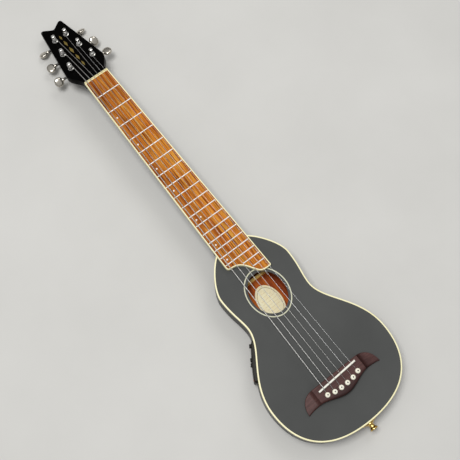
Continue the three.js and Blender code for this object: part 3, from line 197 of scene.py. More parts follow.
def soft_lamp(name, place, aim, width, power):
    """A square area lamp at a place in metres, facing a point."""
    lamp_data = bpy.data.lights.new(name, "AREA")
    lamp_data.size = width
    lamp_data.energy = power
    away = unit(np.array(place) - np.array(aim))
    side = unit(np.cross((0.0, 1.0, 0.0), away))
    lamp = bpy.data.objects.new(name, lamp_data)
    stood(lamp, place, (side, np.cross(away, side), away))


guitar_middle = (0.0, 0.25, 0.03)
soft_lamp("overhead_lamp", (-0.5, 0.5, 2.9), guitar_middle, 1.1, 50.0)
soft_lamp("side_lamp", (1.75, 1.2, 2.5), guitar_middle, 1.3, 15.0)
world = bpy.data.worlds.new("studio")
bpy.context.scene.world = world
world.use_nodes = True
world_back = world.node_tree.nodes["Background"]
world_back.inputs["Strength"].default_value = 0.42
world_direction = feed(world, "ShaderNodeTexCoord").outputs["Generated"]
world_height = feed(world, "ShaderNodeSeparateXYZ", Vector=world_direction).outputs["Z"]
world_walls, world_ceiling = (0.22, 0.22, 0.22), (1.0, 1.0, 0.995)
world_tone = shades(world, world_height, (0.1, world_walls), (0.6, world_ceiling))
world.node_tree.links.new(world_tone, world_back.inputs["Color"])


# Soundboard: a thin spruce plate with an oval hole and a shallow channel for the rosette,
# sprayed with satin charcoal lacquer and glued on the rim inside its binding.
def bezier(start, first, second, end, steps):
    """A cubic curve: start (1-t)^3 + 3 first (1-t)^2 t + 3 second (1-t) t^2 + end t^3."""
    t = np.linspace(0.0, 1.0, steps + 1)[:, None]
    shares = np.hstack([(1 - t) ** 3, 3 * (1 - t) ** 2 * t, 3 * (1 - t) * t**2, t**3])
    return shares @ np.array([start, first, second, end], dtype=float)


def mirrored(points):
    """The same points on the other side of the centre line, in the other order."""
    return (np.array(points) * (-1.0, 1.0))[::-1]


def offset(outline, distance):
    """A closed counterclockwise outline moved outward along its mitres."""
    run = unit(np.roll(outline, -1, axis=0) - outline)
    after = np.column_stack([run[:, 1], -run[:, 0]])
    before = np.roll(after, 1, axis=0)
    mitre = (before + after) / (1.0 + (before * after).sum(axis=1))[:, None]
    return outline + mitre * distance


def at_height(outline, height):
    """Points of the plan at one height, or each at its own."""
    return np.column_stack([outline, np.broadcast_to(height, len(outline))])


def grid(points, close_rows=False, close_columns=False):
    """A surface over rows and columns of points: each square joins four neighbours."""
    index = np.arange(points.shape[0] * points.shape[1]).reshape(points.shape[:2])
    if close_rows:
        index = np.vstack([index, index[:1]])
    if close_columns:
        index = np.hstack([index, index[:, :1]])
    squares = np.stack([index[:-1, :-1], index[1:, :-1], index[1:, 1:], index[:-1, 1:]], -1)
    return points.reshape(-1, 3), squares.reshape(-1, 4).tolist()


def make_piece(name, shells, slot, *materials, body="guitar", smooth=35.0, pick=None):
    """One object from closed surfaces in millimetres.

    Double points are merged, faces are turned outward, and edges sharper than the smooth
    angle stay crisp. pick gives each face's material number from its middle, in metres.
    """
    starts = np.cumsum([0] + [len(points) for points, _ in shells])
    places = np.vstack([points for points, _ in shells]) * MM
    faces = [
        [corner + int(start) for corner in face]
        for start, (_, shell_faces) in zip(starts, shells)
        for face in shell_faces
    ]
    mesh = bpy.data.meshes.new(name)
    mesh.from_pydata(places.tolist(), [], faces)
    working = bmesh.new()
    working.from_mesh(mesh)
    bmesh.ops.remove_doubles(working, verts=working.verts, dist=MM * MM)
    bmesh.ops.recalc_face_normals(working, faces=working.faces)
    working.to_mesh(mesh)
    working.free()
    mesh.shade_smooth()
    mesh.set_sharp_from_angle(angle=np.radians(smooth))
    for material in materials:
        mesh.materials.append(material)
    if pick:
        middles = np.zeros(len(mesh.polygons) * 3)
        mesh.polygons.foreach_get("center", middles)
        chosen = np.asarray(pick(middles.reshape(-1, 3)), dtype=np.int32)
        mesh.polygons.foreach_set("material_index", chosen)
    piece = bpy.data.objects.new(name, mesh)
    bpy.context.scene.collection.objects.link(piece)
    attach(piece, body)
    return piece


body_depth = 38.0
scale_length = 609.6
neck_joint_fret = 15
body_end_y = scale_length * 2 ** (-neck_joint_fret / 12)
upper_bout = (64.9, body_end_y - 65.0)
waist = (58.8, upper_bout[1] - 58.3)
lower_bout = (106.5, 14.9)
tail_y = -78.4
neck_end_half = 16.0
upper_run = body_end_y - upper_bout[1]
waist_run = upper_bout[1] - waist[1]
lower_run = waist[1] - lower_bout[1]
shoulder_curve = bezier(
    (neck_end_half, body_end_y),
    (neck_end_half + 0.323 * (upper_bout[0] - neck_end_half), body_end_y),
    (upper_bout[0], upper_bout[1] + 0.346 * upper_run),
    upper_bout,
    40,
)
upper_curve = bezier(
    upper_bout,
    (upper_bout[0], upper_bout[1] - 0.478 * waist_run),
    (waist[0], waist[1] + 0.27 * waist_run),
    waist,
    30,
)
preamp_curve_controls = (
    waist,
    (waist[0], waist[1] - 0.288 * lower_run),
    (lower_bout[0], lower_bout[1] + 0.471 * lower_run),
    lower_bout,
)
lower_curve = bezier(*preamp_curve_controls, 48)
tail_curve = bezier(
    lower_bout,
    (lower_bout[0], lower_bout[1] - 0.45 * (lower_bout[1] - tail_y)),
    (0.83 * lower_bout[0], tail_y),
    (0.0, tail_y),
    56,
)
treble_outline = np.vstack([shoulder_curve, upper_curve[1:], lower_curve[1:], tail_curve[1:]])
treble_outline = treble_outline[::-1]
body_outline = np.vstack([treble_outline, mirrored(treble_outline)[:-1]])

binding_width = 2.1
top_thickness = 2.5
glue_line = 0.03
hole_middle = np.array([0.0, waist[1] + 26.4])
hole_halves = np.array([28.0, 34.8])
hole_round = 0.5
rosette_halves = np.array([33.1, 41.1])
rosette_width = 1.7
rosette_depth = 1.0
board_edge = offset(body_outline, -binding_width - glue_line)


def oval_towards(halves, grow=0.0):
    """The oval's point in the direction of each point of the board's edge:
    middle + d / |d / halves|."""
    away = board_edge - hole_middle
    return hole_middle + away / np.linalg.norm(away / (halves + grow), axis=1)[:, None]


channel_outer = oval_towards(rosette_halves, glue_line)
channel_inner = oval_towards(rosette_halves, -rosette_width - glue_line)
board_low = body_depth - top_thickness
channel_low = body_depth - rosette_depth
soundboard_rows = [
    at_height(board_edge, board_low),
    at_height(board_edge, body_depth),
    *[
        at_height(board_edge * (1 - share) + channel_outer * share, body_depth)
        for share in np.linspace(0.04, 0.97, 9)
    ],
    at_height(channel_outer, body_depth),
    at_height(channel_outer, channel_low),
    at_height(channel_inner, channel_low),
    at_height(channel_inner, body_depth),
    at_height(oval_towards(hole_halves, hole_round), body_depth),
    at_height(oval_towards(hole_halves, hole_round * 0.3), body_depth - hole_round * 0.3),
    at_height(oval_towards(hole_halves), body_depth - hole_round),
    at_height(oval_towards(hole_halves), board_low),
]
charcoal = mottled(
    "satin_charcoal_lacquer", (80, 81, 80), (77, 78, 77), (84, 85, 84), 0.58,
    scale=9.0, detail=5.0, span=(0.5, 0.62), Specular_IOR_Level=0.06,
)
charcoal_grain = clouds(charcoal, piece_places(charcoal, (900.0, 14.0, 14.0)), 1.0, Detail=2.0)
relief(charcoal, charcoal_grain, 0.00002, 0.35)
soundboard = make_piece(
    "soundboard_plate",
    [grid(np.array(soundboard_rows), close_rows=True, close_columns=True)],
    "charcoal_lacquer",
    charcoal,
)
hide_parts("soundboard")


# Rosette: one oval ring of cream plastic round the soundhole, glued into the soundboard's
# channel and scraped flush with the top.
def full_turn(sides):
    """The angles of a whole turn, without the last one, which is the first again."""
    return np.arange(sides) * 2.0 * np.pi / sides


def directions(angle):
    """The plan's direction at each angle: (cos a, sin a)."""
    return np.column_stack([np.cos(angle), np.sin(angle)])


def oval(middle, halves, sides):
    """A closed counterclockwise oval: middle + halves (cos a, sin a)."""
    return np.array(middle) + np.array(halves) * directions(full_turn(sides))


def carried(outline, section):
    """A closed section of (outward, height) pairs carried round a closed outline."""
    rows = [at_height(offset(outline, out), height) for out, height in section]
    return grid(np.array(rows), close_rows=True, close_columns=True)


aged_cream = mottled(
    "aged_cream_plastic", (206, 206, 178), (196, 196, 166), (214, 213, 186), 0.4,
    scale=60.0, detail=5.0, edge=0.25,
)
rosette_ease = 0.15
rosette_section = [
    (0.0, channel_low + glue_line),
    (0.0, body_depth),
    (-rosette_ease, body_depth + glue_line),
    (-rosette_width + rosette_ease, body_depth + glue_line),
    (-rosette_width, body_depth),
    (-rosette_width, channel_low + glue_line),
]
rosette_shell = carried(oval(hole_middle, rosette_halves, 160), rosette_section)
rosette = make_piece("rosette_ring", [rosette_shell], "cream_plastic", aged_cream)
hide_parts("rosette")


# Top binding: a strip of cream plastic glued into a ledge round the body's edge, scraped
# flush with the soundboard and the sides, its outer edge eased with sandpaper.
def quarter_turn(steps):
    """The angles of a quarter turn."""
    return np.linspace(0.0, np.pi / 2, steps + 1)


def eased_strip(width, low, high, ease):
    """A strip's section. Its outer upper edge is a quarter circle: out = ease (cos a - 1),
    up = high + ease (sin a - 1)."""
    turn = quarter_turn(4)
    rounding = zip(ease * (np.cos(turn) - 1.0), high + ease * (np.sin(turn) - 1.0))
    return [(-width, low), (0.0, low), *rounding, (-width, high)]


cream = mottled(
    "cream_plastic", (252, 244, 198), (249, 240, 188), (254, 248, 206), 0.35,
    scale=45.0, detail=5.0, edge=0.25, span=(0.25, 0.42), Specular_IOR_Level=0.35,
)
binding_low = body_depth - 5.0
binding_section = eased_strip(binding_width, binding_low, body_depth, 0.6)
binding = make_piece(
    "body_binding", [carried(body_outline, binding_section)], "cream_plastic", cream
)
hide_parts("top_binding")


# Sides: two thin strips of wood bent round the outline in gloss black lacquer. They stop at
# the neck's tenon, meet on the tail's centre line, and the bass side has the preamp's window.
gloss_roughness = 0.16
gloss_colour = (0.0014, 0.0013, 0.0012)
gloss_black = finish(
    "gloss_black_lacquer", gloss_colour, gloss_roughness,
    Specular_IOR_Level=0.012, Coat_Weight=0.03, Coat_Roughness=0.04,
)
haze = clouds(gloss_black, piece_places(gloss_black), 30.0, Detail=6.0)
haze_span = (gloss_roughness * 0.7, gloss_roughness * 1.6)
into_shader(gloss_black, "Roughness", levels(gloss_black, haze, *haze_span))
gloss_deep = tuple(np.array(gloss_colour) * 0.8)
gloss_tone = shades(gloss_black, haze, (0.3, gloss_deep), (0.7, gloss_colour))
into_shader(gloss_black, "Base Color", gloss_tone)
polish_places = piece_places(gloss_black, turn=(0.3, 0.2, 0.7))
relief(gloss_black, clouds(gloss_black, polish_places, 900.0, Detail=2.0), 0.000003, 0.3)

side_thickness = 2.5
side_low = 2.5 + glue_line
side_high = binding_low - glue_line
tenon_half = 8.3
window_low, window_high = 9.8, 28.2
window_half_length = 27.3
curve_steps, preamp_step = 1000, 430
preamp_spot, preamp_next = bezier(*preamp_curve_controls, curve_steps)[
    preamp_step : preamp_step + 2
]
preamp_run = unit(preamp_next - preamp_spot)


def side_strip(outline, window=None):
    """A wall inside an open outline: rows run up the outside and down the inside.

    Each row is the outline moved in by 0 or by the wall. A window is left where no square
    is laid between two rows and two columns, and four narrow walls close its rim.
    """
    run = np.gradient(outline, axis=0)
    outward = unit(np.column_stack([run[:, 1], -run[:, 0]]))
    heights = [side_low, window_low, window_high, side_high]
    inner = outline - outward * side_thickness
    rows = [at_height(outline, height) for height in heights]
    rows += [at_height(inner, height) for height in heights[::-1]]
    flat, faces = grid(np.array(rows), close_rows=True)
    columns = len(outline)
    index = np.arange(len(flat)).reshape(len(rows), columns)
    faces += [index[:, 0].tolist(), index[:, -1].tolist()]
    if window:
        first, last = window
        window_rows = (1, 5)
        kept = []
        for face in faces:
            row, column = divmod(min(face), columns)
            if len(face) == 4 and first <= column < last and row in window_rows:
                continue
            kept.append(face)
        faces = kept
        for outer_row, inner_row in ((1, 6), (2, 5)):
            rim = index[[outer_row, inner_row], first : last + 1].T.tolist()
            faces += [[a, b, d, c] for (a, b), (c, d) in zip(rim[:-1], rim[1:])]
        for column in (first, last):
            faces.append([int(index[row, column]) for row in (1, 2, 5, 6)])
    return flat, faces


treble_run = treble_outline[treble_outline[:, 1] < body_end_y - glue_line]
neck_edge = [(neck_end_half, body_end_y), (tenon_half, body_end_y)]
treble_run = np.vstack([(glue_line, tail_y), treble_run[1:], neck_edge])
bass_run = mirrored(treble_run)
along_panel = np.abs((bass_run - preamp_spot * (-1.0, 1.0)) @ (preamp_run * (-1.0, 1.0)))
in_window = (along_panel < window_half_length) & (bass_run[:, 0] < -waist[0])
bass_window = tuple(np.flatnonzero(in_window)[[0, -1]].tolist())
treble_side = make_piece(
    "treble_side_strip", [side_strip(treble_run)], "black_lacquer", gloss_black
)
bass_side = make_piece(
    "bass_side_strip", [side_strip(bass_run, bass_window)], "black_lacquer", gloss_black
)
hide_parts("treble_side")
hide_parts("bass_side")


# Back: a flat plate, black outside with an eased edge, and bare reddish-brown wood inside.
def closed_ends(points):
    """Rings of points joined into a tube, with one face over each end."""
    flat, faces = grid(points, close_columns=True)
    ring = list(range(points.shape[1]))
    return flat, faces + [ring, [len(flat) - points.shape[1] + corner for corner in ring]]


def plate(outline, low, high, edge):
    """A flat plate whose edges are rounded: rings drawn in by edge (1 - sin a) at height
    edge (1 - cos a), from the lower face to the upper one."""
    turn = quarter_turn(4)
    draw_in = edge * (1.0 - np.sin(turn))
    rise = edge * (1.0 - np.cos(turn))
    inner = 1.5 * edge
    inward = np.concatenate([[inner], draw_in, draw_in[::-1], [inner]])
    heights = np.concatenate([[low], low + rise, high - rise[::-1], [high]])
    rings = [at_height(offset(outline, -share), height) for share, height in zip(inward, heights)]
    return closed_ends(np.array(rings))


def mixed(material, first, second, way="MULTIPLY"):
    """Two colours joined in full: multiplied, or the lighter part of each."""
    made = feed(material, "ShaderNodeMix", {"data_type": "RGBA", "blend_type": way})
    made.inputs[0].default_value = 1.0
    material.node_tree.links.new(first, made.inputs[6])
    material.node_tree.links.new(second, made.inputs[7])
    return made.outputs[2]


def wood(name, dark, middle, light, stretch, roughness, pores=0.4, shine=0.2):
    """Bare or oiled wood from three screen colours: long soft bands, finer streaks, and pores
    that darken and dent it."""
    dark, middle, light = tint(*dark), tint(*middle), tint(*light)
    material = finish(name, middle, roughness, Specular_IOR_Level=shine)
    bands = clouds(material, piece_places(material, stretch), 1.0, Detail=3.0, Distortion=0.6)
    fine_places = piece_places(material, tuple(np.array(stretch) * (6.0, 2.5, 6.0)))
    streaks = clouds(material, fine_places, 1.0, Roughness=0.65)
    colour = shades(material, bands, (0.3, dark), (0.5, middle), (0.68, light))
    grey = shades(material, streaks, (0.35, (1 - pores,) * 3), (0.62, (1.0, 1.0, 1.0)))
    into_shader(material, "Base Color", mixed(material, colour, grey))
    worn = levels(material, streaks, roughness * 1.25, roughness * 0.85)
    into_shader(material, "Roughness", worn)
    relief(material, streaks, 0.00008, 0.4)
    return material


back_thickness = 2.5
inner_mahogany = wood(
    "bare_mahogany", (140, 58, 12), (186, 88, 22), (216, 118, 40), (160.0, 9.0, 160.0), 0.6
)
back = make_piece(
    "back_board",
    [plate(body_outline, 0.0, back_thickness, 0.8)],
    "mahogany",
    gloss_black,
    inner_mahogany,
    pick=lambda middles: middles[:, 2] > (back_thickness - glue_line) * MM,
)
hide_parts("back_plate")


# Label: an oval of cream paper glued inside the back under the hole, with a thin ruled
# border and blank ruled lines.
label_halves = np.array([19.5, 30.0])
label_middle = np.array([0.0, 150.0])
label_thickness = 0.25
paper = finish("label_paper", tint(236, 224, 178), 0.8)
paper_spot = piece_places(paper)
paper_mapping = paper_spot.node
paper_mapping.vector_type = "TEXTURE"
paper_mapping.inputs["Location"].default_value = (*label_middle * MM, 0.0)
paper_mapping.inputs["Scale"].default_value = (*label_halves * MM, 1.0)
flat_spot = feed(paper, "ShaderNodeVectorMath", {"operation": "MULTIPLY"}, Vector=paper_spot)
flat_spot.inputs[1].default_value = (1.0, 1.0, 0.0)
flat_spot = flat_spot.outputs["Vector"]
from_middle = feed(paper, "ShaderNodeVectorMath", {"operation": "LENGTH"}, Vector=flat_spot)
from_middle = from_middle.outputs["Value"]
white, black = (1.0, 1.0, 1.0), (0.0, 0.0, 0.0)
faint, ink = (0.72, 0.6, 0.42), (0.3, 0.22, 0.16)
border = shades(
    paper, from_middle, (0.0, white), (0.835, white), (0.845, ink), (0.862, ink),
    (0.872, white), (0.925, white), (0.93, faint), (0.94, white),
)
ruled = feed(
    paper, "ShaderNodeTexWave", {"bands_direction": "Y", "wave_profile": "SIN"},
    Vector=piece_places(paper, (0.0, 1.0, 0.0)), Scale=62.0,
)
lines = shades(paper, ruled.outputs["Fac"], (0.0, faint), (0.03, white), (1.0, white))
past_lines = shades(paper, from_middle, (0.62, black), (0.64, white))
lines = mixed(paper, lines, past_lines, "LIGHTEN")
paper_fibres = clouds(paper, piece_places(paper), 140.0, Detail=6.0)
paper_tone = shades(paper, paper_fibres, (0.3, tint(254, 240, 196)), (0.7, tint(255, 250, 214)))
into_shader(paper, "Base Color", mixed(paper, mixed(paper, paper_tone, border), lines))
relief(paper, paper_fibres, 0.00003, 0.5)
label_outline = oval(label_middle, label_halves, 96)
label_low, label_high = back_thickness + glue_line, back_thickness + label_thickness
make_piece("paper_label", [plate(label_outline, label_low, label_high, 0.05)], "bone", paper)


# Inside the box: mahogany end blocks and bridge plate, spruce linings and braces, and the
# steel truss rod in the neck's channel. They keep the frame's shapes and get their wood here.
pale_spruce = wood(
    "pale_spruce", (214, 158, 84), (236, 184, 108), (248, 208, 136),
    (420.0, 6.0, 420.0), 0.65, pores=0.15,
)
# The back braces get a copy of the spruce painted much lighter than the linings' and top braces':
# painted light, standing in for the light that the soundboard and the fingerboard's end keep from
# them under the hole.
cross_spruce_painted_light = wood(
    "cross_spruce_painted_light", (250, 196, 104), (255, 214, 124), (255, 226, 148),
    (6.0, 420.0, 420.0), 0.65, pores=0.15,
)


def scratched_metal(name, colour, roughness, scratch=0.00001):
    """Plated or polished metal: cloudy roughness and fine scratches."""
    material = finish(name, colour, roughness, Metallic=1.0)
    cloudy = clouds(material, piece_places(material), 120.0, Detail=5.0)
    fine = clouds(material, piece_places(material, (1.0, 5.0, 1.0), (0.4, 0.2, 0.5)), 1500.0)
    shade = tuple(np.array(colour) * 0.86)
    into_shader(material, "Base Color", shades(material, cloudy, (0.3, shade), (0.7, colour)))
    worn = levels(material, cloudy, roughness * 0.7, roughness * 1.5)
    into_shader(material, "Roughness", worn)
    relief(material, fine, scratch, 0.25)
    return material


string_steel = scratched_metal("string_steel", (0.58, 0.58, 0.57), 0.28)
carried_finishes = {
    "neck_block": inner_mahogany,
    "tail_block": inner_mahogany,
    "bridge_plate": inner_mahogany,
    "top_lining": pale_spruce,
    "back_lining": pale_spruce,
    "top_bracing": pale_spruce,
    "back_brace_upper": cross_spruce_painted_light,
    "back_brace_middle": cross_spruce_painted_light,
    "back_brace_lower": cross_spruce_painted_light,
    "truss_rod": string_steel,
}
for node_name, material in carried_finishes.items():
    for material_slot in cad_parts[node_name].material_slots:
        material_slot.material = material


# Bridge: one piece of dark rosewood, glued to the soundboard. A thick block with a belly
# towards the tail carries the saddle and the pins, and two thin wings are hollowed down to it.
def arc(start, corner, end, steps):
    """A quadratic curve round a corner: start (1-t)^2 + 2 corner (1-t) t + end t^2."""
    t = np.linspace(0.0, 1.0, steps + 1)[:, None]
    shares = np.hstack([(1 - t) ** 2, 2 * (1 - t) * t, t**2])
    return shares @ np.array([start, corner, end], dtype=float)


bridge_low = body_depth + 0.05
bridge_block_half = 41.5
bridge_tip = (66.0, -20.0)
bridge_head_y, bridge_waist_y, bridge_belly_y = 6.8, -17.8, -28.5
block_height, wing_height, tip_height = 8.45, 4.3, 2.7
scoop_length = 7.0
tail_round_most, head_round_most = 3.4, 1.1
wing_run = bridge_tip[0] - bridge_block_half
head_wing = bezier(
    (bridge_block_half, bridge_head_y),
    (bridge_block_half + 0.62 * wing_run, bridge_head_y),
    (bridge_tip[0], bridge_tip[1] + 0.55 * (bridge_head_y - bridge_tip[1])),
    bridge_tip,
    40,
)
tail_wing = arc(
    (bridge_block_half, bridge_waist_y),
    (bridge_block_half + wing_run / 2, bridge_waist_y + 0.9),
    bridge_tip,
    40,
)
belly_curve = bezier(
    (0.0, bridge_belly_y),
    (0.36 * bridge_block_half, bridge_belly_y),
    (0.68 * bridge_block_half, bridge_waist_y - 0.9),
    (bridge_block_half, bridge_waist_y),
    40,
)
scoop_stations = bridge_block_half + scoop_length * np.linspace(0.0, 1.0, 17) ** 1.6
half_stations = np.concatenate(
    [np.linspace(0.0, bridge_block_half, 40), scoop_stations[1:], head_wing[:, 0]]
)
half_stations = np.unique(np.round(half_stations, 4))
stations = np.concatenate([-half_stations[:0:-1], half_stations])
beside = np.abs(stations)
head_edge = np.interp(beside, *head_wing.T)[:, None]
tail_line = np.vstack([belly_curve, tail_wing[1:]])
tail_edge_y = np.interp(beside, *tail_line.T)[:, None]


def bridge_height(beside):
    """The top over the underside: the block, a hollow (1 - t)^2 over t from 0 to 1, and a
    falling wing."""
    past_block = beside - bridge_block_half
    into = np.clip(past_block / scoop_length, 0.0, 1.0)
    hollow = (block_height - wing_height) * (1.0 - into) ** 2
    along = np.clip(past_block / wing_run, 0.0, 1.0)
    wing = wing_height + (tip_height - wing_height) * along
    return np.where(past_block <= 0.0, block_height, np.minimum(block_height, wing + hollow))


# Each row across the bridge rises in a quarter circle at its tail edge, runs flat, and falls
# in a smaller quarter circle at its headstock edge. Neither takes up all of a thin tip.
bridge_turn = quarter_turn(7)
round_in, round_fall = 1.0 - np.cos(bridge_turn), 1.0 - np.sin(bridge_turn)
top_rise = bridge_height(beside)[:, None]
room = 0.45 * (head_edge - tail_edge_y)
tail_round = np.minimum(np.minimum(tail_round_most, 0.6 * top_rise), room)
head_round = np.minimum(head_round_most, room)
across_shares = np.linspace(0.0, 1.0, 14)[1:-1]
flat_y = (tail_edge_y + tail_round) * (1 - across_shares)
flat_y = flat_y + (head_edge - head_round) * across_shares
section_y = np.hstack(
    [
        tail_edge_y,
        tail_edge_y + tail_round * round_in,
        flat_y,
        head_edge - head_round * round_in[::-1],
        head_edge,
    ]
)
section_z = np.hstack(
    [
        np.zeros_like(top_rise),
        top_rise - tail_round * round_fall,
        np.broadcast_to(top_rise, flat_y.shape),
        top_rise - head_round * round_fall[::-1],
        np.zeros_like(top_rise),
    ]
)
section_x = np.broadcast_to(stations[:, None], section_y.shape)
rosewood = wood(
    "bridge_rosewood", (72, 46, 43), (84, 56, 53), (95, 65, 61),
    (24.0, 520.0, 520.0), 0.42, pores=0.3,
)


def toned(material, tone):
    """Multiplies what colours the finish by one more colour."""
    socket = material.node_tree.nodes["Principled BSDF"].inputs["Base Color"]
    into_shader(material, "Base Color", mixed(material, socket.links[0].from_socket, tone))


def toned_along(material, axis, low, high, *stops):
    """Tones the finish by a ramp that runs along one axis of the piece, from low to high."""
    place = feed(material, "ShaderNodeSeparateXYZ", Vector=piece_places(material))
    share = feed(
        material, "ShaderNodeMapRange",
        Value=place.outputs[axis], From_Min=low * MM, From_Max=high * MM,
    )
    toned(material, shades(material, share.outputs["Result"], *stops))


# Painted shade: the wood's colour is darkened towards the rounded tail edge and in the two hollows
# beside the block, deepest on the treble side, where shade falls.
toned_along(
    rosewood, "Y", bridge_belly_y, 0.4 * bridge_belly_y,
    (0.0, (0.3, 0.28, 0.3)), (0.45, (0.56, 0.52, 0.54)), (1.0, white),
)
toned_along(
    rosewood, "X", -bridge_tip[0], bridge_tip[0],
    (0.13, white), (0.184, (0.86, 0.9, 0.92)), (0.188, white),
    (0.812, white), (0.818, (0.36, 0.26, 0.25)), (0.93, (1.0, 1.04, 1.08)),
)
bridge_points = np.stack([section_x, section_y, section_z + bridge_low], axis=-1)
bridge = make_piece(
    "bridge_body", [closed_ends(bridge_points)], "rosewood", rosewood, smooth=42.0
)
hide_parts("bridge")
bridge_top = bridge_low + block_height


# Saddle: a strip of bone-coloured plastic in the bridge's slanted slot, with a rounded crown
# that is worn to a shallow notch under each string.
string_diameters = np.array([0.3, 0.41, 0.61, 0.81, 1.07, 1.35])
nut_spacing, saddle_spacing, pin_spacing = 7.3, 10.92, 11.3
saddle_shift, pin_shift = 0.5, 0.8
places_across = 2.5 - np.arange(6)
nut_x = places_across * nut_spacing
saddle_x = places_across * saddle_spacing + saddle_shift
pin_x = places_across * pin_spacing + pin_shift
saddle_half_length, saddle_half = 35.0, 1.5
saddle_slant = np.radians(3.07)
saddle_top = 50.15
saddle_foot = bridge_top - 4.5
notch_depth = 0.12


def notched(x, places, radii, depth):
    """Depth below the crown: a round-bottomed notch of each string's radius at its place."""
    apart = np.abs(x[:, None] - places) / (radii * 1.15)
    return (depth * np.sqrt(np.clip(1.0 - apart**2, 0.0, 1.0))).max(axis=1)


def strip_rows(x, top, half_width, foot):
    """A strip with a round crown along x: across = w cos a, up = top - w + w sin a."""
    angle = np.linspace(np.pi, 0.0, 15)
    crown_z = half_width * (np.sin(angle) - 1.0)
    y = np.concatenate([[-half_width], half_width * np.cos(angle), [half_width]])
    feet = np.full((len(x), 1), foot)
    z = np.hstack([feet, top[:, None] + crown_z, feet])
    return np.stack([np.repeat(x[:, None], len(y), 1), np.tile(y, (len(x), 1)), z], axis=-1)


def plan_turn(angle):
    """The matrix that turns the plan counterclockwise: (cos, -sin; sin, cos)."""
    return np.array([[np.cos(angle), -np.sin(angle)], [np.sin(angle), np.cos(angle)]])


saddle_line = np.linspace(-saddle_half_length, saddle_half_length, 701)
end_drop = 0.5 * np.clip((np.abs(saddle_line) - saddle_half_length + 1.0), 0.0, 1.0) ** 2
saddle_notches = notched(saddle_line, saddle_x, string_diameters / 2, notch_depth)
saddle_crown = saddle_top - saddle_notches - end_drop
saddle_points = strip_rows(saddle_line, saddle_crown, saddle_half, saddle_foot)
saddle_points[..., :2] = saddle_points[..., :2] @ plan_turn(saddle_slant).T
bone = mottled(
    "bone_plastic", (250, 248, 236), (246, 243, 226), (253, 252, 242), 0.35,
    scale=1.0, detail=5.0, stretch=(60.0, 300.0, 300.0), span=(0.25, 0.42),
    Specular_IOR_Level=0.35,
)
saddle = make_piece("saddle_strip", [closed_ends(saddle_points)], "bone", bone)
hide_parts("saddle")


# Bridge pins: turned cream plastic pegs pressed into the bridge over each string's ball end,
# with a domed head and a dark dot let into it.
def turned(profile, sides=48):
    """A surface of revolution about Z through (radius, height) pairs: (r cos a, r sin a, z)."""
    radius, height = np.array(profile, dtype=float).T
    plan = radius[:, None, None] * directions(full_turn(sides))
    tall = np.repeat(height[:, None, None], sides, 1)
    return closed_ends(np.concatenate([plan, tall], axis=-1))


def placed(shell, *, move=(0.0, 0.0, 0.0), turn=None):
    """The same surface, turned by a matrix and then moved."""
    points, faces = shell
    turned_points = points if turn is None else points @ np.array(turn).T
    return turned_points + np.array(move), faces


pin_y = -16.1 * np.array([0.76, 0.94, 1.0, 1.0, 0.94, 0.76])
pin_head, pin_rise, pin_dot, pin_shank = 3.9, 3.3, 1.15, 2.55

# The head's dome: r = dot + (head - dot) cos^0.9 a and z = 1 + (rise - 1) sin^1.1 a.
dome = quarter_turn(8)
dome_radii = pin_dot + (pin_head - pin_dot) * np.cos(dome) ** 0.9
dome_heights = 1.0 + (pin_rise - 1.0) * np.sin(dome) ** 1.1
pin_profile = [
    (0.0, -19.0), (2.0, -19.0), (pin_shank, -5.0), (pin_shank, 0.0),
    (pin_head * 0.82, 0.05), (pin_head * 0.97, 0.5),
    *zip(dome_radii, dome_heights),
    (pin_dot * 0.94, pin_rise - 0.06), (pin_dot * 0.5, pin_rise + 0.02), (0.0, pin_rise + 0.05),
]
dot_black = mottled("pin_dot_plastic", (52, 50, 50), (44, 42, 42), (60, 58, 58), 0.3, scale=300.0)
pin_plastic = mottled(
    "pin_plastic", (252, 249, 228), (248, 244, 220), (254, 252, 236), 0.35,
    scale=120.0, Specular_IOR_Level=0.35,
)
pin_seat = bridge_top + glue_line
for number in range(6):
    spot = np.array([pin_x[number], pin_y[number]])

    def is_dot(middles, spot=spot):
        """The dot: faces of the head's top nearer to the pin's axis than the dot's edge."""
        near = np.linalg.norm(middles[:, :2] - spot * MM, axis=1) < pin_dot * 0.97 * MM
        return near & (middles[:, 2] > pin_seat * MM)

    pin = make_piece(
        f"bridge_pin_peg_{number + 1}",
        [placed(turned(pin_profile), move=(*spot, pin_seat))],
        "cream_plastic",
        pin_plastic,
        dot_black,
        pick=is_dot,
    )
    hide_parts(f"bridge_pin_{number + 1}")


# Fingerboard: a tapered board of orange-brown rosewood, glued on the neck and the soundboard.
# Its end sweeps from the short bass side to the longer treble side over the soundhole.
def fret_y(number):
    """Equal-tempered fret places from the saddle: scale length over 2^(n/12)."""
    return scale_length * 2.0 ** (-np.asarray(number) / 12.0)


core_half_at_nut, core_half_at_octave, core_gap = 20.4, 25.65, 0.3
core_taper = (core_half_at_octave - core_half_at_nut) / (scale_length - fret_y(12))
board_binding = 1.6


def board_half(y):
    """Half the bound fingerboard's width: the core's straight taper and the binding."""
    return core_half_at_nut + (scale_length - y) * core_taper + core_gap + board_binding


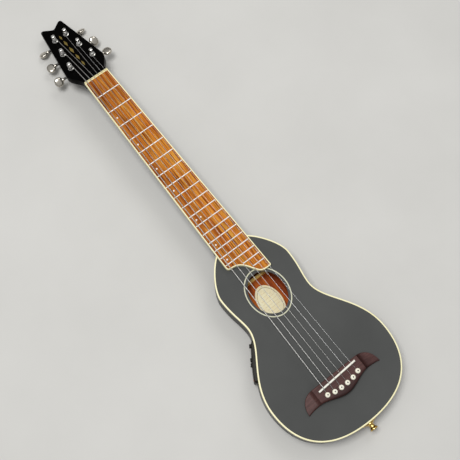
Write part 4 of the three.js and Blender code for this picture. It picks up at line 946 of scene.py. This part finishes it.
fingerboard_low = body_depth + glue_line
board_high = 44.9
treble_end_y = float(fret_y(19)) - 14.6
bass_end_y = treble_end_y + 31.4
bass_half, treble_half = board_half(bass_end_y), board_half(treble_end_y)
bass_corner, treble_corner = 6.5, 2.4
treble_flat_x = 21.7
sweep_reach = 11.0
sweep_slope = np.radians(58.0)
sweep_middle = np.array([1.5, treble_end_y + 15.4])
sweep_run = 12.0 * np.array([np.cos(sweep_slope), -np.sin(sweep_slope)])
board_start_y = scale_length - 0.1
treble_edge = [(board_half(y), y) for y in np.linspace(treble_end_y + 6.0, board_start_y, 40)]
bass_edge = [(-board_half(y), y) for y in np.linspace(board_start_y, bass_end_y + 9.0, 40)]
board_outline = np.vstack(
    [
        arc(
            (treble_half - treble_corner, treble_end_y),
            (treble_half, treble_end_y),
            (board_half(treble_end_y + treble_corner), treble_end_y + treble_corner),
            6,
        ),
        treble_edge,
        bass_edge,
        arc(
            (-board_half(bass_end_y + bass_corner), bass_end_y + bass_corner),
            (-bass_half, bass_end_y),
            (-bass_half + bass_corner, bass_end_y),
            12,
        ),
        bezier(
            (-bass_half + bass_corner, bass_end_y),
            (-bass_half + bass_corner + sweep_reach, bass_end_y),
            sweep_middle - sweep_run,
            sweep_middle,
            24,
        )[1:],
        bezier(
            sweep_middle,
            sweep_middle + sweep_run,
            (treble_flat_x - sweep_reach, treble_end_y),
            (treble_flat_x, treble_end_y),
            24,
        )[1:],
    ]
)
board_core = offset(board_outline, -board_binding - glue_line)
board_wood = wood(
    "fingerboard_rosewood", (164, 80, 26), (228, 140, 50), (252, 186, 84),
    (340.0, 13.0, 340.0), 0.5, pores=0.6, shine=0.08,
)

# The bass side is redder than the treble side, a few broad dark streaks run along the board,
# and the wood under the first frets, which are played most, is a shade darker.
toned_along(
    board_wood, "X", -26.0, 26.0,
    (0.0, (0.66, 0.54, 0.48)), (0.3, (0.88, 0.8, 0.74)), (0.62, (1.0, 1.0, 0.95)),
    (0.9, (1.0, 0.98, 0.92)), (1.0, (0.7, 0.6, 0.55)),
)
streak_places = piece_places(board_wood, (560.0, 20.0, 560.0))
dark_streaks = clouds(board_wood, streak_places, 1.0, Detail=3.0, Distortion=0.4)
toned(board_wood, shades(board_wood, dark_streaks, (0.35, (0.34, 0.2, 0.14)), (0.47, white)))
toned_along(
    board_wood, "Y", scale_length - 90.0, scale_length,
    (0.0, white), (0.5, (0.84, 0.78, 0.79)), (1.0, (0.78, 0.7, 0.72)),
)
board_shell = plate(board_core, fingerboard_low, board_high, 0.12)
board = make_piece("fingerboard_core", [board_shell], "orange_rosewood", board_wood)
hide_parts("fingerboard")

edge_section = eased_strip(board_binding, fingerboard_low, board_high, 0.5)
board_edge_strip = make_piece(
    "fingerboard_edge_binding", [carried(board_outline, edge_section)], "cream_plastic", cream
)
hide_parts("fingerboard_binding")


# Frets: nineteen lengths of nickel-silver wire, pressed into saw cuts. Each has a rounded
# crown, and its ends are filed to a slope just inside the binding.
fret_half_width, fret_height, fret_lift = 1.1, 1.25, 0.04
tang_half_width, tang_depth = fret_half_width * 0.3, 1.2
fret_end_gap, sweep_gap = 0.3, 0.2
sweep_head_y, sweep_treble_x = bass_end_y + 12.0, 22.0

# The crown: across = half width cos a and up = height sin^0.8 a, for half a turn.
fret_angle = np.linspace(np.pi, 0.0, 13)
crown_across = fret_half_width * np.cos(fret_angle)
crown_up = fret_height * np.sin(fret_angle) ** 0.8
filed_slope = crown_up * 0.55
near_sweep = (board_core[:, 1] < sweep_head_y) & (board_core[:, 0] < sweep_treble_x)
sweep_rim = board_core[near_sweep]
sweep_rim = sweep_rim[np.argsort(sweep_rim[:, 0])]
fret_shells = []
for number in range(1, 20):
    middle = float(fret_y(number))
    inside = board_half(middle) - board_binding - fret_end_gap
    clear = np.linspace(-inside, inside, 401)
    if middle < bass_end_y + 3.0:
        rim_y = np.interp(clear, sweep_rim[:, 0], sweep_rim[:, 1])
        clear = clear[middle - fret_half_width - sweep_gap > rim_y]
    shares = np.linspace(0.0, 1.0, 9)[:, None]
    x = (clear[0] + filed_slope) * (1 - shares) + (clear[-1] - filed_slope) * shares
    y = middle + np.broadcast_to(crown_across, x.shape)
    z = board_high + fret_lift + np.broadcast_to(crown_up, x.shape)
    under = np.full((len(shares), 1), board_high - tang_depth)
    side_y = np.full((len(shares), 1), middle)
    x = np.hstack([x[:, :1], x, x[:, -1:]])
    y = np.hstack([side_y - tang_half_width, y, side_y + tang_half_width])
    z = np.hstack([under, z, under])
    fret_shells.append(closed_ends(np.stack([x, y, z], axis=-1)))
nickel = scratched_metal("polished_nickel_silver", (1.0, 0.99, 0.96), 0.48)
frets = make_piece("fret_wires", fret_shells, "nickel", nickel, smooth=60.0)
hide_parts("frets")


# Dots: small discs of pearl plastic, glued into holes drilled in the fingerboard under the
# bass strings and sanded flush. The twelfth fret's space has a pair.
dot_radius = 1.4
dot_profile = [
    (0.0, -1.5), (dot_radius, -1.5), (dot_radius, 0.02), (dot_radius * 0.8, 0.05), (0.0, 0.06)
]
dot_frets = {3: [-2.0], 5: [-2.0], 7: [-2.0], 9: [-2.0], 12: [-2.0, -1.1], 15: [-2.0], 17: [-2.0]}
dot_shells = []
for number, spacings_off in dot_frets.items():
    middle = float(fret_y(number) + fret_y(number - 1)) / 2
    spacing = saddle_spacing + (nut_spacing - saddle_spacing) * middle / scale_length
    for off in spacings_off:
        dot_spot = (off * spacing, middle, board_high)
        dot_shells.append(placed(turned(dot_profile, 32), move=dot_spot))
pearl = finish("pearl_plastic", tint(240, 238, 228), 0.18, Coat_Weight=0.6, Coat_Roughness=0.08)
swirl_places = piece_places(pearl, (1.0, 0.4, 1.0))
pearl_swirl = clouds(pearl, swirl_places, 900.0, Detail=3.0, Distortion=2.0)
pearl_tones = ((0.3, tint(214, 218, 214)), (0.5, tint(244, 242, 234)), (0.7, tint(228, 220, 214)))
into_shader(pearl, "Base Color", shades(pearl, pearl_swirl, *pearl_tones))
dots = make_piece("pearl_dots", dot_shells, "pearl", pearl)
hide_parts("dot_inlays")


# Nut: a strip of bone-coloured plastic glued across the board's end, with a filed slot for
# each string that slopes down towards the headstock.
nut_thickness = 3.4
nut_width = 1.5
nut_top = 47.05
nut_half = board_half(scale_length)
nut_line = np.linspace(-nut_half, nut_half, 901)
string_low = 46.62
slot_fall = 0.8
slot_radii = string_diameters / 2 * 1.2
off_string = nut_line[:, None] - nut_x
slot_rise = slot_radii - np.sqrt(np.clip(slot_radii**2 - off_string**2, 0.0, None))
slot_floor = np.where(np.abs(off_string) < slot_radii, string_low + slot_rise, nut_top)
slot_floor = slot_floor.min(axis=1)[:, None]
nut_end_drop = 0.5 * np.clip((np.abs(nut_line) - nut_half + 1.2) / 1.2, 0.0, 1.0) ** 2
across_nut = np.array([0.0, 0.0, 0.15, 0.5, 0.85, 1.0, 1.0])
nut_fall = np.array([0.35, 0.0, 0.12, 0.45, 0.9])
nut_crown = nut_top - nut_end_drop[:, None] - nut_fall
slots = np.where(slot_floor < nut_top, slot_floor - across_nut[1:-1] * slot_fall, nut_top)
nut_feet = np.full((len(nut_line), 1), fingerboard_low)
nut_points = np.stack(
    [
        np.repeat(nut_line[:, None], len(across_nut), 1),
        np.tile(scale_length + across_nut * nut_width, (len(nut_line), 1)),
        np.hstack([nut_feet, np.minimum(nut_crown, slots), nut_feet]),
    ],
    axis=-1,
)
nut = make_piece("nut_strip", [closed_ends(nut_points)], "bone", cream)
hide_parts("nut")


# Neck and headstock: one carved piece in gloss black lacquer. The shaft deepens into the
# heel at the body, and its back flows into the thin headstock, which leans back 14 degrees.
head_angle = np.radians(14.0)
head_start_y = scale_length + nut_thickness
head_thickness = 13.0
head_place = (0.0, head_start_y, body_depth)
head_turn = np.array(
    [
        [1.0, 0.0, 0.0],
        [0.0, np.cos(head_angle), np.sin(head_angle)],
        [0.0, -np.sin(head_angle), np.cos(head_angle)],
    ]
)


def on_head(shell):
    """A surface drawn on the headstock's face (across, up from the nut, out), put in place."""
    return placed(shell, move=head_place, turn=head_turn)


neck_start_y = body_end_y + 0.05
neck_end_y = head_start_y + 26.0
heel_length, heel_depth, heel_cap_half = 40.0, 33.5, 12.0
shaft_depth_at_body, shaft_depth_at_nut = 16.0, 14.0
heel_rows = neck_start_y + (heel_length + 6.0) * np.linspace(0.0, 1.0, 40) ** 1.3
shaft_rows = np.linspace(heel_rows[-1] + 6.0, scale_length - 24.0, 40)
throat_rows = np.linspace(scale_length - 20.0, neck_end_y, 32)
neck_rows = np.concatenate([heel_rows, shaft_rows, throat_rows])
heel = np.clip(1.0 - (neck_rows - neck_start_y) / heel_length, 0.0, None) ** 2.6
shaft_depth = np.interp(
    neck_rows, [neck_start_y, head_start_y + 12.0], [shaft_depth_at_body, shaft_depth_at_nut]
)
neck_depth = shaft_depth + heel * (heel_depth - shaft_depth)
past_nut = np.clip(neck_rows - head_start_y, 0.0, None)
neck_half = board_half(np.minimum(neck_rows, scale_length)) - 0.02
neck_half = neck_half - np.clip(past_nut * 0.08, 0.0, 1.2)
neck_top = body_depth - past_nut * np.tan(head_angle) - np.clip(past_nut, 0.0, 0.6)
head_back = body_depth - (neck_rows - head_start_y) * np.tan(head_angle)
head_back = head_back - head_thickness / np.cos(head_angle)
volute = np.interp(neck_rows, [scale_length - 10.0, head_start_y + 24.0], [0.0, 1.0])
volute = volute * volute * (3.0 - 2.0 * volute)
neck_low = (body_depth - neck_depth) * (1.0 - volute) + (head_back + 0.6) * volute

# Each row across the neck is a rounded back under a flat top, for a from 0 to half a turn:
# x = flat + (half width - flat) |cos a|^0.85 to each side, and z = top - depth sin a.
flat_half = heel * heel_cap_half
section_angle = np.linspace(0.0, np.pi, 41)
side_share = np.cos(section_angle)
reach = flat_half[:, None] + (neck_half - flat_half)[:, None] * np.abs(side_share) ** 0.85
neck_x = np.sign(np.round(side_share, 6)) * reach
neck_z = neck_top[:, None] - (neck_top - neck_low)[:, None] * np.sin(section_angle)
neck_y = np.repeat(neck_rows[:, None], len(section_angle), 1)
neck_points = np.stack([neck_x, neck_y, neck_z], axis=-1)
head_half = np.vstack(
    [
        bezier((0.0, 140.4), (5.0, 141.2), (13.0, 150.9), (17.0, 150.9), 16),
        arc((17.0, 150.9), (21.4, 150.9), (21.4, 144.4), 10)[1:],
        arc((36.3, 37.4), (36.3, 32.4), (34.3, 27.9), 10),
        bezier((34.3, 27.9), (29.8, 18.9), (22.2, 12.4), (22.2, 3.4), 20)[1:],
        [(22.2, 0.0)],
    ]
)
head_outline = np.vstack([head_half[::-1], mirrored(head_half)[::-1][1:]])
neck = make_piece(
    "neck_and_headstock",
    [closed_ends(neck_points), on_head(plate(head_outline, -head_thickness, 0.0, 0.7))],
    "black_lacquer",
    gloss_black,
)
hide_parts("neck")


# Headstock inlay: five plain lozenges cut from gold-coloured foil, laid down the middle of
# the headstock's face under its last coat of lacquer.
gold_foil = scratched_metal("gold_foil", (0.46, 0.34, 0.10), 0.4)
lozenges = (
    (40.0, 7.0, 1.9), (58.0, 8.0, 2.3), (78.0, 9.0, 2.6), (98.0, 8.0, 2.3), (115.0, 6.0, 1.9)
)
inlay_shells = []
for middle, half_length, half_width in lozenges:
    right, left = (half_width, middle), (-half_width, middle)
    top, bottom = (0.0, middle + half_length), (0.0, middle - half_length)
    lozenge = np.array([right, top, left, bottom])
    inlay_shells.append(on_head(plate(lozenge, -0.2, 0.05, 0.03)))
make_piece("headstock_lozenges", inlay_shells, "gold_plate", gold_foil)


# Tuning machines: six die-cast cases screwed under the headstock. A chromed nut and washer
# hold each one from the face, and its button turns a worm that drives the string post.
post_low_x, post_draw_in, post_low_s, post_spacing = 21.7, 5.3, 44.6, 35.4
post_rows = np.array([0, 1, 2, 2, 1, 0])
post_side = np.array([1, 1, 1, -1, -1, -1])
post_x = post_side * (post_low_x - post_rows * post_draw_in)
post_s = post_low_s + post_rows * post_spacing
button_turns = np.radians([-5.0, 45.0, -35.0, -25.0, 10.0, 45.0])
housing_top, housing_floor = -head_thickness - 0.03, -23.0
worm_offset, worm_height, worm_half = 6.0, -18.6, 2.0
case_inner, case_outer, case_low_s, case_high_s = 8.0, 11.5, -7.0, 10.0
case_corner, case_edge, cap_lift, screw_sink = 2.2, 1.3, 0.3, 0.3
chrome = scratched_metal("chrome_plate", (0.9, 0.89, 0.86), 0.07, 0.000004)
dark_steel = scratched_metal("oiled_steel", (0.10, 0.097, 0.093), 0.35)
button_nickel = scratched_metal("nickel_plated_button", (0.64, 0.6, 0.53), 0.22, 0.000004)


def ring_turned(profile, sides=48):
    """A turned ring: its profile of (radius, height) pairs closes on itself."""
    points, _ = turned(profile, sides)
    return grid(points.reshape(len(profile), sides, 3), close_rows=True, close_columns=True)


def along_x(shell, out):
    """A turned surface laid along the button's shaft, with its height pointing outward."""
    return placed(shell, turn=[[0.0, 0.0, out], [0.0, 1.0, 0.0], [-out, 0.0, 0.0]])


def rounded_box(x_low, x_high, y_low, y_high, corner, steps=6):
    """A rectangle's plan with rounded corners, counterclockwise."""
    quarter = corner * directions(quarter_turn(steps))
    parts = []
    for flip_x, flip_y in ((1, 1), (-1, 1), (-1, -1), (1, -1)):
        middle_x = x_high - corner if flip_x > 0 else x_low + corner
        middle_y = y_high - corner if flip_y > 0 else y_low + corner
        part = np.array([middle_x, middle_y]) + quarter * (flip_x, flip_y)
        parts.append(part if flip_x * flip_y > 0 else part[::-1])
    return np.vstack(parts)


# The nut is a ring whose outer radius follows a hexagon: r = flat / cos of the angle from the
# middle of the nearest flat. Its upper corners are cut back.
nut_angle = full_turn(72)
hexagon = 3.8 / np.cos((nut_angle + np.pi / 6) % (np.pi / 3) - np.pi / 6)
hex_section = (
    (hexagon, 0.65), (hexagon, 2.0), (np.minimum(hexagon, 3.95), 2.65),
    (3.7, 2.7), (3.35, 2.4), (3.35, 0.65),
)
hex_rings = [
    at_height(np.reshape(radius, (-1, 1)) * directions(nut_angle), height)
    for radius, height in hex_section
]
hex_nut = grid(np.array(hex_rings), close_rows=True, close_columns=True)
washer = ring_turned([(3.3, 0.03), (4.8, 0.03), (4.9, 0.25), (4.7, 0.6), (3.3, 0.64)])
gear_cap = turned(
    [(0.0, -0.2), (5.6, -0.2), (5.6, 0.35), (5.2, 0.6), (1.9, 0.62), (1.7, 0.35), (0.0, 0.35)]
)
gear_cap = placed(gear_cap, turn=[[1, 0, 0], [0, -1, 0], [0, 0, -1]])
collar = ring_turned([(2.1, 9.5), (3.3, 9.5), (3.3, 12.2), (2.9, 13.0), (2.1, 13.1)])
post_profile = [
    (0.0, worm_height - worm_half), (4.0, worm_height - worm_half),
    (4.0, worm_height + worm_half), (3.0, worm_height + worm_half),
    (3.0, 2.7), (2.62, 3.2), (2.55, 4.0), (2.55, 9.2), (2.65, 10.0), (3.0, 10.5),
    (3.05, 11.6), (2.85, 12.3), (2.35, 12.6), (1.25, 12.6), (1.1, 12.2), (0.0, 12.1),
]
stem_profile = [
    (0.0, -4.3), (1.7, -4.3), (1.7, 4.3), (1.9, 6.0), (1.9, 16.6), (2.3, 17.2),
    (3.0, 17.8), (3.2, 19.0), (2.9, 20.4), (2.4, 22.0), (0.0, 22.0),
]
stem_steel_end = 17.0
end_screw = turned([(0.0, -1.0), (1.7, -1.0), (1.7, 0.35), (1.3, 0.6), (0.0, 0.62)], 32)

# The button is a flattened ball with a squarish plan: x and y = half c^0.72 q (cos a, sin a) and
# z = half s^0.85, with c and s of the rise and q = (|cos a|^2.35 + |sin a|^2.35)^(-1 / 2.35).
button_distance, button_halves, button_power = 27.0, np.array([7.5, 8.4, 3.3]), 2.35
button_rise = np.linspace(-np.pi / 2, np.pi / 2, 25)[:, None]
button_round = full_turn(64)
squared = np.abs(directions(button_round)) ** button_power
button_plan = np.abs(np.cos(button_rise)) ** 0.72 * squared.sum(axis=1) ** (-1 / button_power)
button_thick = np.sign(button_rise) * np.abs(np.sin(button_rise)) ** 0.85
button_points = np.stack(
    [
        button_halves[0] * button_plan * np.cos(button_round),
        button_halves[1] * button_plan * np.sin(button_round),
        button_halves[2] * np.repeat(button_thick, len(button_round), 1),
    ],
    axis=-1,
)
button_shell = closed_ends(button_points)
for number in range(6):
    out = float(post_side[number])
    spot = (post_x[number], post_s[number], 0.0)
    cap_spot = (post_x[number], post_s[number], housing_floor + cap_lift)
    shaft_spot = (post_x[number], post_s[number] + worm_offset, worm_height)
    low_x, high_x = (-case_inner, case_outer) if out > 0 else (-case_outer, case_inner)
    tuner_plan = rounded_box(low_x, high_x, case_low_s, case_high_s, case_corner)
    case = plate(tuner_plan, housing_floor, housing_top, case_edge)
    housing = make_piece(
        f"tuner_case_{number + 1}",
        [
            on_head(placed(case, move=spot)),
            on_head(placed(washer, move=spot)),
            on_head(placed(hex_nut, move=spot)),
            on_head(placed(gear_cap, move=cap_spot)),
            on_head(placed(along_x(collar, out), move=shaft_spot)),
        ],
        "chrome",
        chrome,
        smooth=30.0,
    )
    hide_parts(f"tuner_{number + 1}_housing")
    post = make_piece(
        f"tuner_string_post_{number + 1}",
        [on_head(placed(turned(post_profile), move=spot))],
        "chrome",
        chrome,
        body=f"post_{number + 1}",
        smooth=30.0,
    )
    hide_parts(f"tuner_{number + 1}_post")
    about_shaft = np.eye(3)
    about_shaft[1:, 1:] = plan_turn(button_turns[number])
    screw_x = out * (button_distance + button_halves[0] - screw_sink)
    button_shells = (
        placed(button_shell, move=(out * button_distance, 0.0, 0.0)),
        along_x(turned(stem_profile), out),
        placed(along_x(end_screw, out), move=(screw_x, 0.0, 0.0)),
    )
    button = make_piece(
        f"tuner_key_{number + 1}",
        [
            on_head(placed(placed(shell, turn=about_shaft), move=shaft_spot))
            for shell in button_shells
        ],
        "chrome",
        button_nickel,
        dark_steel,
        body=f"button_{number + 1}",
        smooth=30.0,
        pick=lambda middles, reach=shaft_spot[0] + out * stem_steel_end, out=out: (
            (middles[:, 0] - reach * MM) * out < 0
        ),
    )
    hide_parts(f"tuner_{number + 1}_button")


# Strings: steel, the four thicker ones wound with wire. Each runs from its ball end in the
# bridge plate, up in front of its pin, over saddle and nut, and round its post.
post_waist_reach = 2.6
winding_turns = [3.0, 3.0, 3.0, 3.0, 3.0, 2.5]
winding_low, winding_space = 3.3, 0.7


def swept(route, radii, sides=10):
    """A round tube along a route: rings of radius r in the planes across its direction.

    Each ring's first axis is the last one's, made square to the direction, so the tube
    doesn't twist.
    """
    step = unit(np.diff(route, axis=0))
    along = unit(np.vstack([step[:1], step[:-1] + step[1:], step[-1:]]))
    up = np.cross(along, (1.0, 0.0, 0.0))
    for place in range(1, len(up)):
        up[place] = unit(up[place - 1] - along[place] * (up[place - 1] @ along[place]))
    across = np.cross(up, along)
    angle = full_turn(sides)[:, None]
    around = across[:, None] * np.cos(angle) + up[:, None] * np.sin(angle)
    return closed_ends(route[:, None] + around * np.asarray(radii)[:, None, None])


def bend_points(centre, reach, start, end, x, steps=8):
    """Points of a round bend in the plane at x: centre + reach (cos a, sin a)."""
    bend = centre + reach * directions(np.linspace(start, end, steps + 1))
    return np.column_stack([np.full(steps + 1, x), bend])


def winding(number, radius):
    """The coil round a post in the headstock's frame.

    The string leaves the nut, touches a circle round the post on its inner side, and climbs
    by its own thickness and the winding space in each turn.
    """
    reach = post_waist_reach + radius
    centre = np.array([post_x[number], post_s[number]])
    start = np.array([nut_x[number], -nut_thickness])
    to_post = centre - start
    inward = -np.sign(post_x[number])
    distance = np.linalg.norm(to_post)
    lean = -inward * np.arcsin(reach / distance)
    touch = plan_turn(lean) @ to_post / distance * np.sqrt(distance**2 - reach**2) + start
    first = np.arctan2(*(touch - centre)[::-1])
    turns = winding_turns[number]
    share = np.linspace(0.0, turns, int(turns * 40) + 1)
    plan = centre + reach * directions(first + inward * 2.0 * np.pi * share)
    coil = at_height(plan, winding_low + radius + share * (2.0 * radius + winding_space))
    tail = [(*(centre * 0.7 + coil[-1, :2] * 0.3), coil[-1, 2] + 0.1)]
    return np.vstack([coil, tail])


plain_steel = scratched_metal("plain_string_steel", (0.97, 0.97, 0.96), 0.42)
wound_steel = finish("wound_string_wire", (0.66, 0.65, 0.63), 0.4, Metallic=1.0)
wrap = feed(
    wound_steel, "ShaderNodeTexWave", {"bands_direction": "Y"},
    Vector=piece_places(wound_steel), Scale=900.0,
).outputs["Fac"]
# Each turn of the wrap is painted darker towards the groove between it and the next: painted shade
# in the grooves of the winding.
wrap_tone_with_groove_shade = shades(wound_steel, wrap, (0.0, (0.34, 0.335, 0.32)), (0.5, (0.62, 0.61, 0.59)))
into_shader(wound_steel, "Base Color", wrap_tone_with_groove_shade)
relief(wound_steel, wrap, 0.00006, 0.5)
ball_radius, ball_length, ball_top, ball_shoulder = 1.9, 3.0, 34.93, 0.6
bend_room = 0.3
pin_to_string = pin_head + bend_room
for number in range(6):
    radius = string_diameters[number] / 2
    x, rise_y = pin_x[number], pin_y[number] + pin_to_string + radius
    edge, over_saddle = radius + bend_room, saddle_half + 0.05 + radius
    edge_centre = np.array([rise_y + edge, bridge_top - 0.25])
    saddle_y = saddle_x[number] * np.tan(saddle_slant)
    saddle_centre = np.array([saddle_y, saddle_top - saddle_half])
    between = saddle_centre - edge_centre
    climb = np.arctan2(between[1], between[0])
    climb += np.arcsin((over_saddle - edge) / np.linalg.norm(between))
    level = np.pi / 2
    route = np.vstack(
        [
            [(x, rise_y, ball_top - ball_length), (x, rise_y, ball_top - ball_shoulder)],
            [(x, rise_y, ball_top)],
            bend_points(edge_centre, edge, np.pi, level + climb, x),
            bend_points(saddle_centre, over_saddle, level + climb, level, saddle_x[number]),
            [(nut_x[number], scale_length, string_low + 0.03 + radius)],
            winding(number, radius) @ head_turn.T + head_place,
        ]
    )
    thickness = np.full(len(route), radius)
    thickness[:2] = ball_radius
    string = make_piece(
        f"steel_string_{number + 1}",
        [swept(route, thickness)],
        "string_steel",
        plain_steel if number < 2 else wound_steel,
        smooth=50.0,
    )
    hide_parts(f"string_{number + 1}")


# Preamp: a black moulded panel let into the bass side over its circuit case. It bows out in
# the middle, and each knob stands in a moulded ring.
panel_half_length, panel_low, panel_high, panel_proud = 31.5, 5.5, 32.4, 5.4
panel_back = -4.0
panel_middle_z = (panel_low + panel_high) / 2
panel_half_height = panel_high - panel_middle_z
panel_out = (preamp_run[1], preamp_run[0], 0.0)
panel_along = (-preamp_run[0], preamp_run[1], 0.0)
panel_turn = np.array([panel_out, panel_along, (0.0, 0.0, 1.0)]).T
panel_place = (-preamp_spot[0], preamp_spot[1], 0.0)
knob_z = 22.0
knob_places = {"volume": -24.0, "bass": -3.3, "treble": 4.2}
out_axis = [[0.0, 0.0, 1.0], [1.0, 0.0, 0.0], [0.0, 1.0, 0.0]]


def on_panel(shell):
    """A surface drawn as (out of the side, along it to the tail, height), put in place."""
    return placed(shell, move=panel_place, turn=panel_turn)


def panel_bow(along):
    """How far the panel's face stands out: full near the middle, less towards its ends."""
    shares = np.abs(along) / panel_half_length
    return panel_proud * (1.0 - 0.26 * shares**2.4)


def facing_out(shell, along):
    """A surface drawn with its height pointing out, set on the panel's face in the knobs' row."""
    return on_panel(placed(shell, turn=out_axis, move=(panel_bow(along), along, knob_z)))


def subdivided(outline, most):
    """A closed outline with each run cut into equal steps, shorter than twice the most."""
    points = []
    for start, end in zip(outline, np.roll(outline, -1, axis=0)):
        steps = max(1, int(np.linalg.norm(end - start) / most))
        points.extend(start + (end - start) * step / steps for step in range(steps))
    return np.array(points)


panel_plan = rounded_box(
    -panel_half_length, panel_half_length, -panel_half_height, panel_half_height, 4.0
)
panel_plan = subdivided(panel_plan, 2.5)
face_turn = quarter_turn(5)
face_round = 1.4
groove = ((2.4, 0.0), (2.7, 0.25), (3.1, 0.25), (3.4, 0.0))
rounding = zip(face_round * (1 - np.cos(face_turn)), face_round * (1 - np.sin(face_turn)))
panel_rings = [(panel_plan, panel_back)]
for draw_in, sink in (*rounding, *groove):
    ring = offset(panel_plan, -draw_in)
    panel_rings.append((ring, panel_bow(ring[:, 0]) - sink))
for share in (0.8, 0.6, 0.4, 0.2, 0.02):
    panel_rings.append((ring * (1.0, share), panel_bow(ring[:, 0])))
panel_points = np.array(
    [
        np.column_stack([np.broadcast_to(out, len(ring)), ring[:, 0], ring[:, 1] + panel_middle_z])
        for ring, out in panel_rings
    ]
)
moulded_black = mottled(
    "moulded_black_plastic", (30, 28, 23), (24, 22, 17), (35, 33, 27), 0.42,
    scale=900.0, detail=3.0, span=(0.36, 0.55), dent=(0.00003, 0.4), Specular_IOR_Level=0.2,
)
knob_ring = ring_turned([(3.55, -1.0), (4.3, -1.0), (4.25, 0.25), (3.95, 0.45), (3.65, 0.3)])
circuit_length, circuit_height, circuit_corner, circuit_edge = 54.0, 18.0, 1.5, 0.6
circuit_bottom, circuit_top = -24.0, -3.5
circuit_plan = rounded_box(
    -circuit_length / 2, circuit_length / 2, -circuit_height / 2, circuit_height / 2,
    circuit_corner,
)
circuit_case = plate(circuit_plan, circuit_bottom, circuit_top, circuit_edge)
circuit_case = placed(circuit_case, turn=out_axis, move=(0.0, 0.0, panel_middle_z))
preamp = make_piece(
    "preamp_panel",
    [
        on_panel(closed_ends(panel_points)),
        *[facing_out(knob_ring, along) for along in knob_places.values()],
        on_panel(circuit_case),
    ],
    "black_plastic",
    moulded_black,
)
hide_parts("preamp")

lens_red = mottled(
    "reddish_lens", (120, 62, 44), (104, 50, 36), (138, 76, 54), 0.2,
    scale=500.0, Coat_Weight=0.7, Coat_Roughness=0.05,
)
lens_profile = [(0.0, -1.0), (2.2, -1.0), (2.2, 0.3), (1.9, 0.7), (1.2, 1.0), (0.0, 1.1)]
lens_shell = facing_out(turned(lens_profile, 32), 26.5)
make_piece("preamp_lens", [lens_shell], "black_plastic", lens_red)

# The knobs' rims are knurled: their radius is cut by up to 3.5% in a wave along the rim. A
# white pointer is let into each top.
pointer_white = mottled(
    "pointer_paint", (214, 212, 204), (200, 198, 190), (226, 224, 218), 0.5, scale=700.0
)
knob_seat, knob_top = 4.2, 3.4
knob_profile = [
    (0.0, -3.0), (1.4, -3.0), (1.4, 0.0), (3.2, 0.0),
    (3.2, 2.8), (3.05, 3.2), (2.7, knob_top), (0.0, knob_top),
]
knurled_rows = slice(3, 6)
knurl_sides, knurl_depth, knurl_pitch = 144, 0.035, 6.0
knurl_wave = 0.5 + 0.5 * np.cos(np.arange(knurl_sides) * 2.0 * np.pi / knurl_pitch)
knurl = 1.0 - knurl_depth * knurl_wave**2
knob_points, knob_faces = turned(knob_profile, knurl_sides)
knob_rings = knob_points.reshape(len(knob_profile), knurl_sides, 3)
knob_rings[knurled_rows, :, :2] *= knurl[None, :, None]
knob_shell = (knob_rings.reshape(-1, 3), knob_faces)
pointer = plate(rounded_box(-0.22, 0.22, 0.6, 2.6, 0.2, 3), knob_top - 0.2, knob_top + 0.06, 0.03)


def is_pointer(middles):
    """The pointer's face: what stands further out than the knob's top."""
    out = (middles / MM - panel_place) @ panel_turn[:, 0]
    return out > knob_seat + knob_top + 0.03


for name, along in knob_places.items():
    knob = make_piece(
        f"preamp_knob_cap_{name}",
        [
            on_panel(placed(shell, turn=out_axis, move=(knob_seat, along, knob_z)))
            for shell in (knob_shell, pointer)
        ],
        "black_plastic",
        moulded_black,
        pointer_white,
        body=f"{name}_knob",
        pick=is_pointer,
    )
    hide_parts(f"preamp_knob_{name}")


# Endpin jack: a gold-plated turned barrel through the tail block. Its waist and flange hold
# a strap, its bore takes the plug, and an oval plate is screwed to the tail under its collar.
gold = scratched_metal("gold_plate", (0.80, 0.55, 0.19), 0.16, 0.000006)
tail_turn = [[1.0, 0.0, 0.0], [0.0, 0.0, -1.0], [0.0, 1.0, 0.0]]
jack_place = (0.0, tail_y, body_depth / 2)
jack_profile = [
    (3.25, -19.0), (6.0, -19.0), (6.0, 1.4), (7.3, 1.45), (7.4, 1.8), (7.4, 2.8), (7.1, 3.2),
    (5.0, 3.5), (4.3, 4.3), (4.1, 5.6), (4.2, 7.6), (4.7, 9.4), (5.6, 10.4), (6.1, 10.9),
    (6.2, 11.5), (6.2, 12.2), (5.8, 12.9), (5.0, 13.0), (3.9, 12.8), (3.45, 12.3), (3.25, 11.5),
]
bore_floor = turned([(0.0, -20.0), (5.9, -20.0), (5.9, -18.8), (0.0, -18.8)])


def on_tail(shell):
    """A surface drawn with its height pointing out of the tail, put in place."""
    return placed(shell, turn=tail_turn, move=jack_place)


jack = make_piece(
    "endpin_jack_barrel",
    [on_tail(ring_turned(jack_profile, 64)), on_tail(bore_floor)],
    "gold_plate",
    gold,
    smooth=30.0,
)
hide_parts("endpin_jack")

plate_top = 1.3
screw_slot_floor = 0.83
screw_profile = [(0.0, -0.5), (1.75, -0.5), (1.75, 0.1), (1.3, 0.6), (0.7, 0.8), (0.0, 0.82)]
screw_slot = plate(rounded_box(-1.1, 1.1, -0.2, 0.2, 0.1, 3), 0.6, 0.86, 0.02)
tail_shells = [plate(oval((0.0, 0.0), (12.0, 8.0), 96), 0.02, plate_top, 0.35)]
for shell in (turned(screw_profile, 32), screw_slot):
    tail_shells += [placed(shell, move=(x, 0.0, plate_top)) for x in (-9.4, 9.4)]
tail_plate = make_piece(
    "endpin_oval_plate",
    [on_tail(shell) for shell in tail_shells],
    "gold_plate",
    gold,
    dark_steel,
    smooth=30.0,
    pick=lambda middles: middles[:, 1] < (tail_y - plate_top - screw_slot_floor) * MM,
)
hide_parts("endpin_plate")
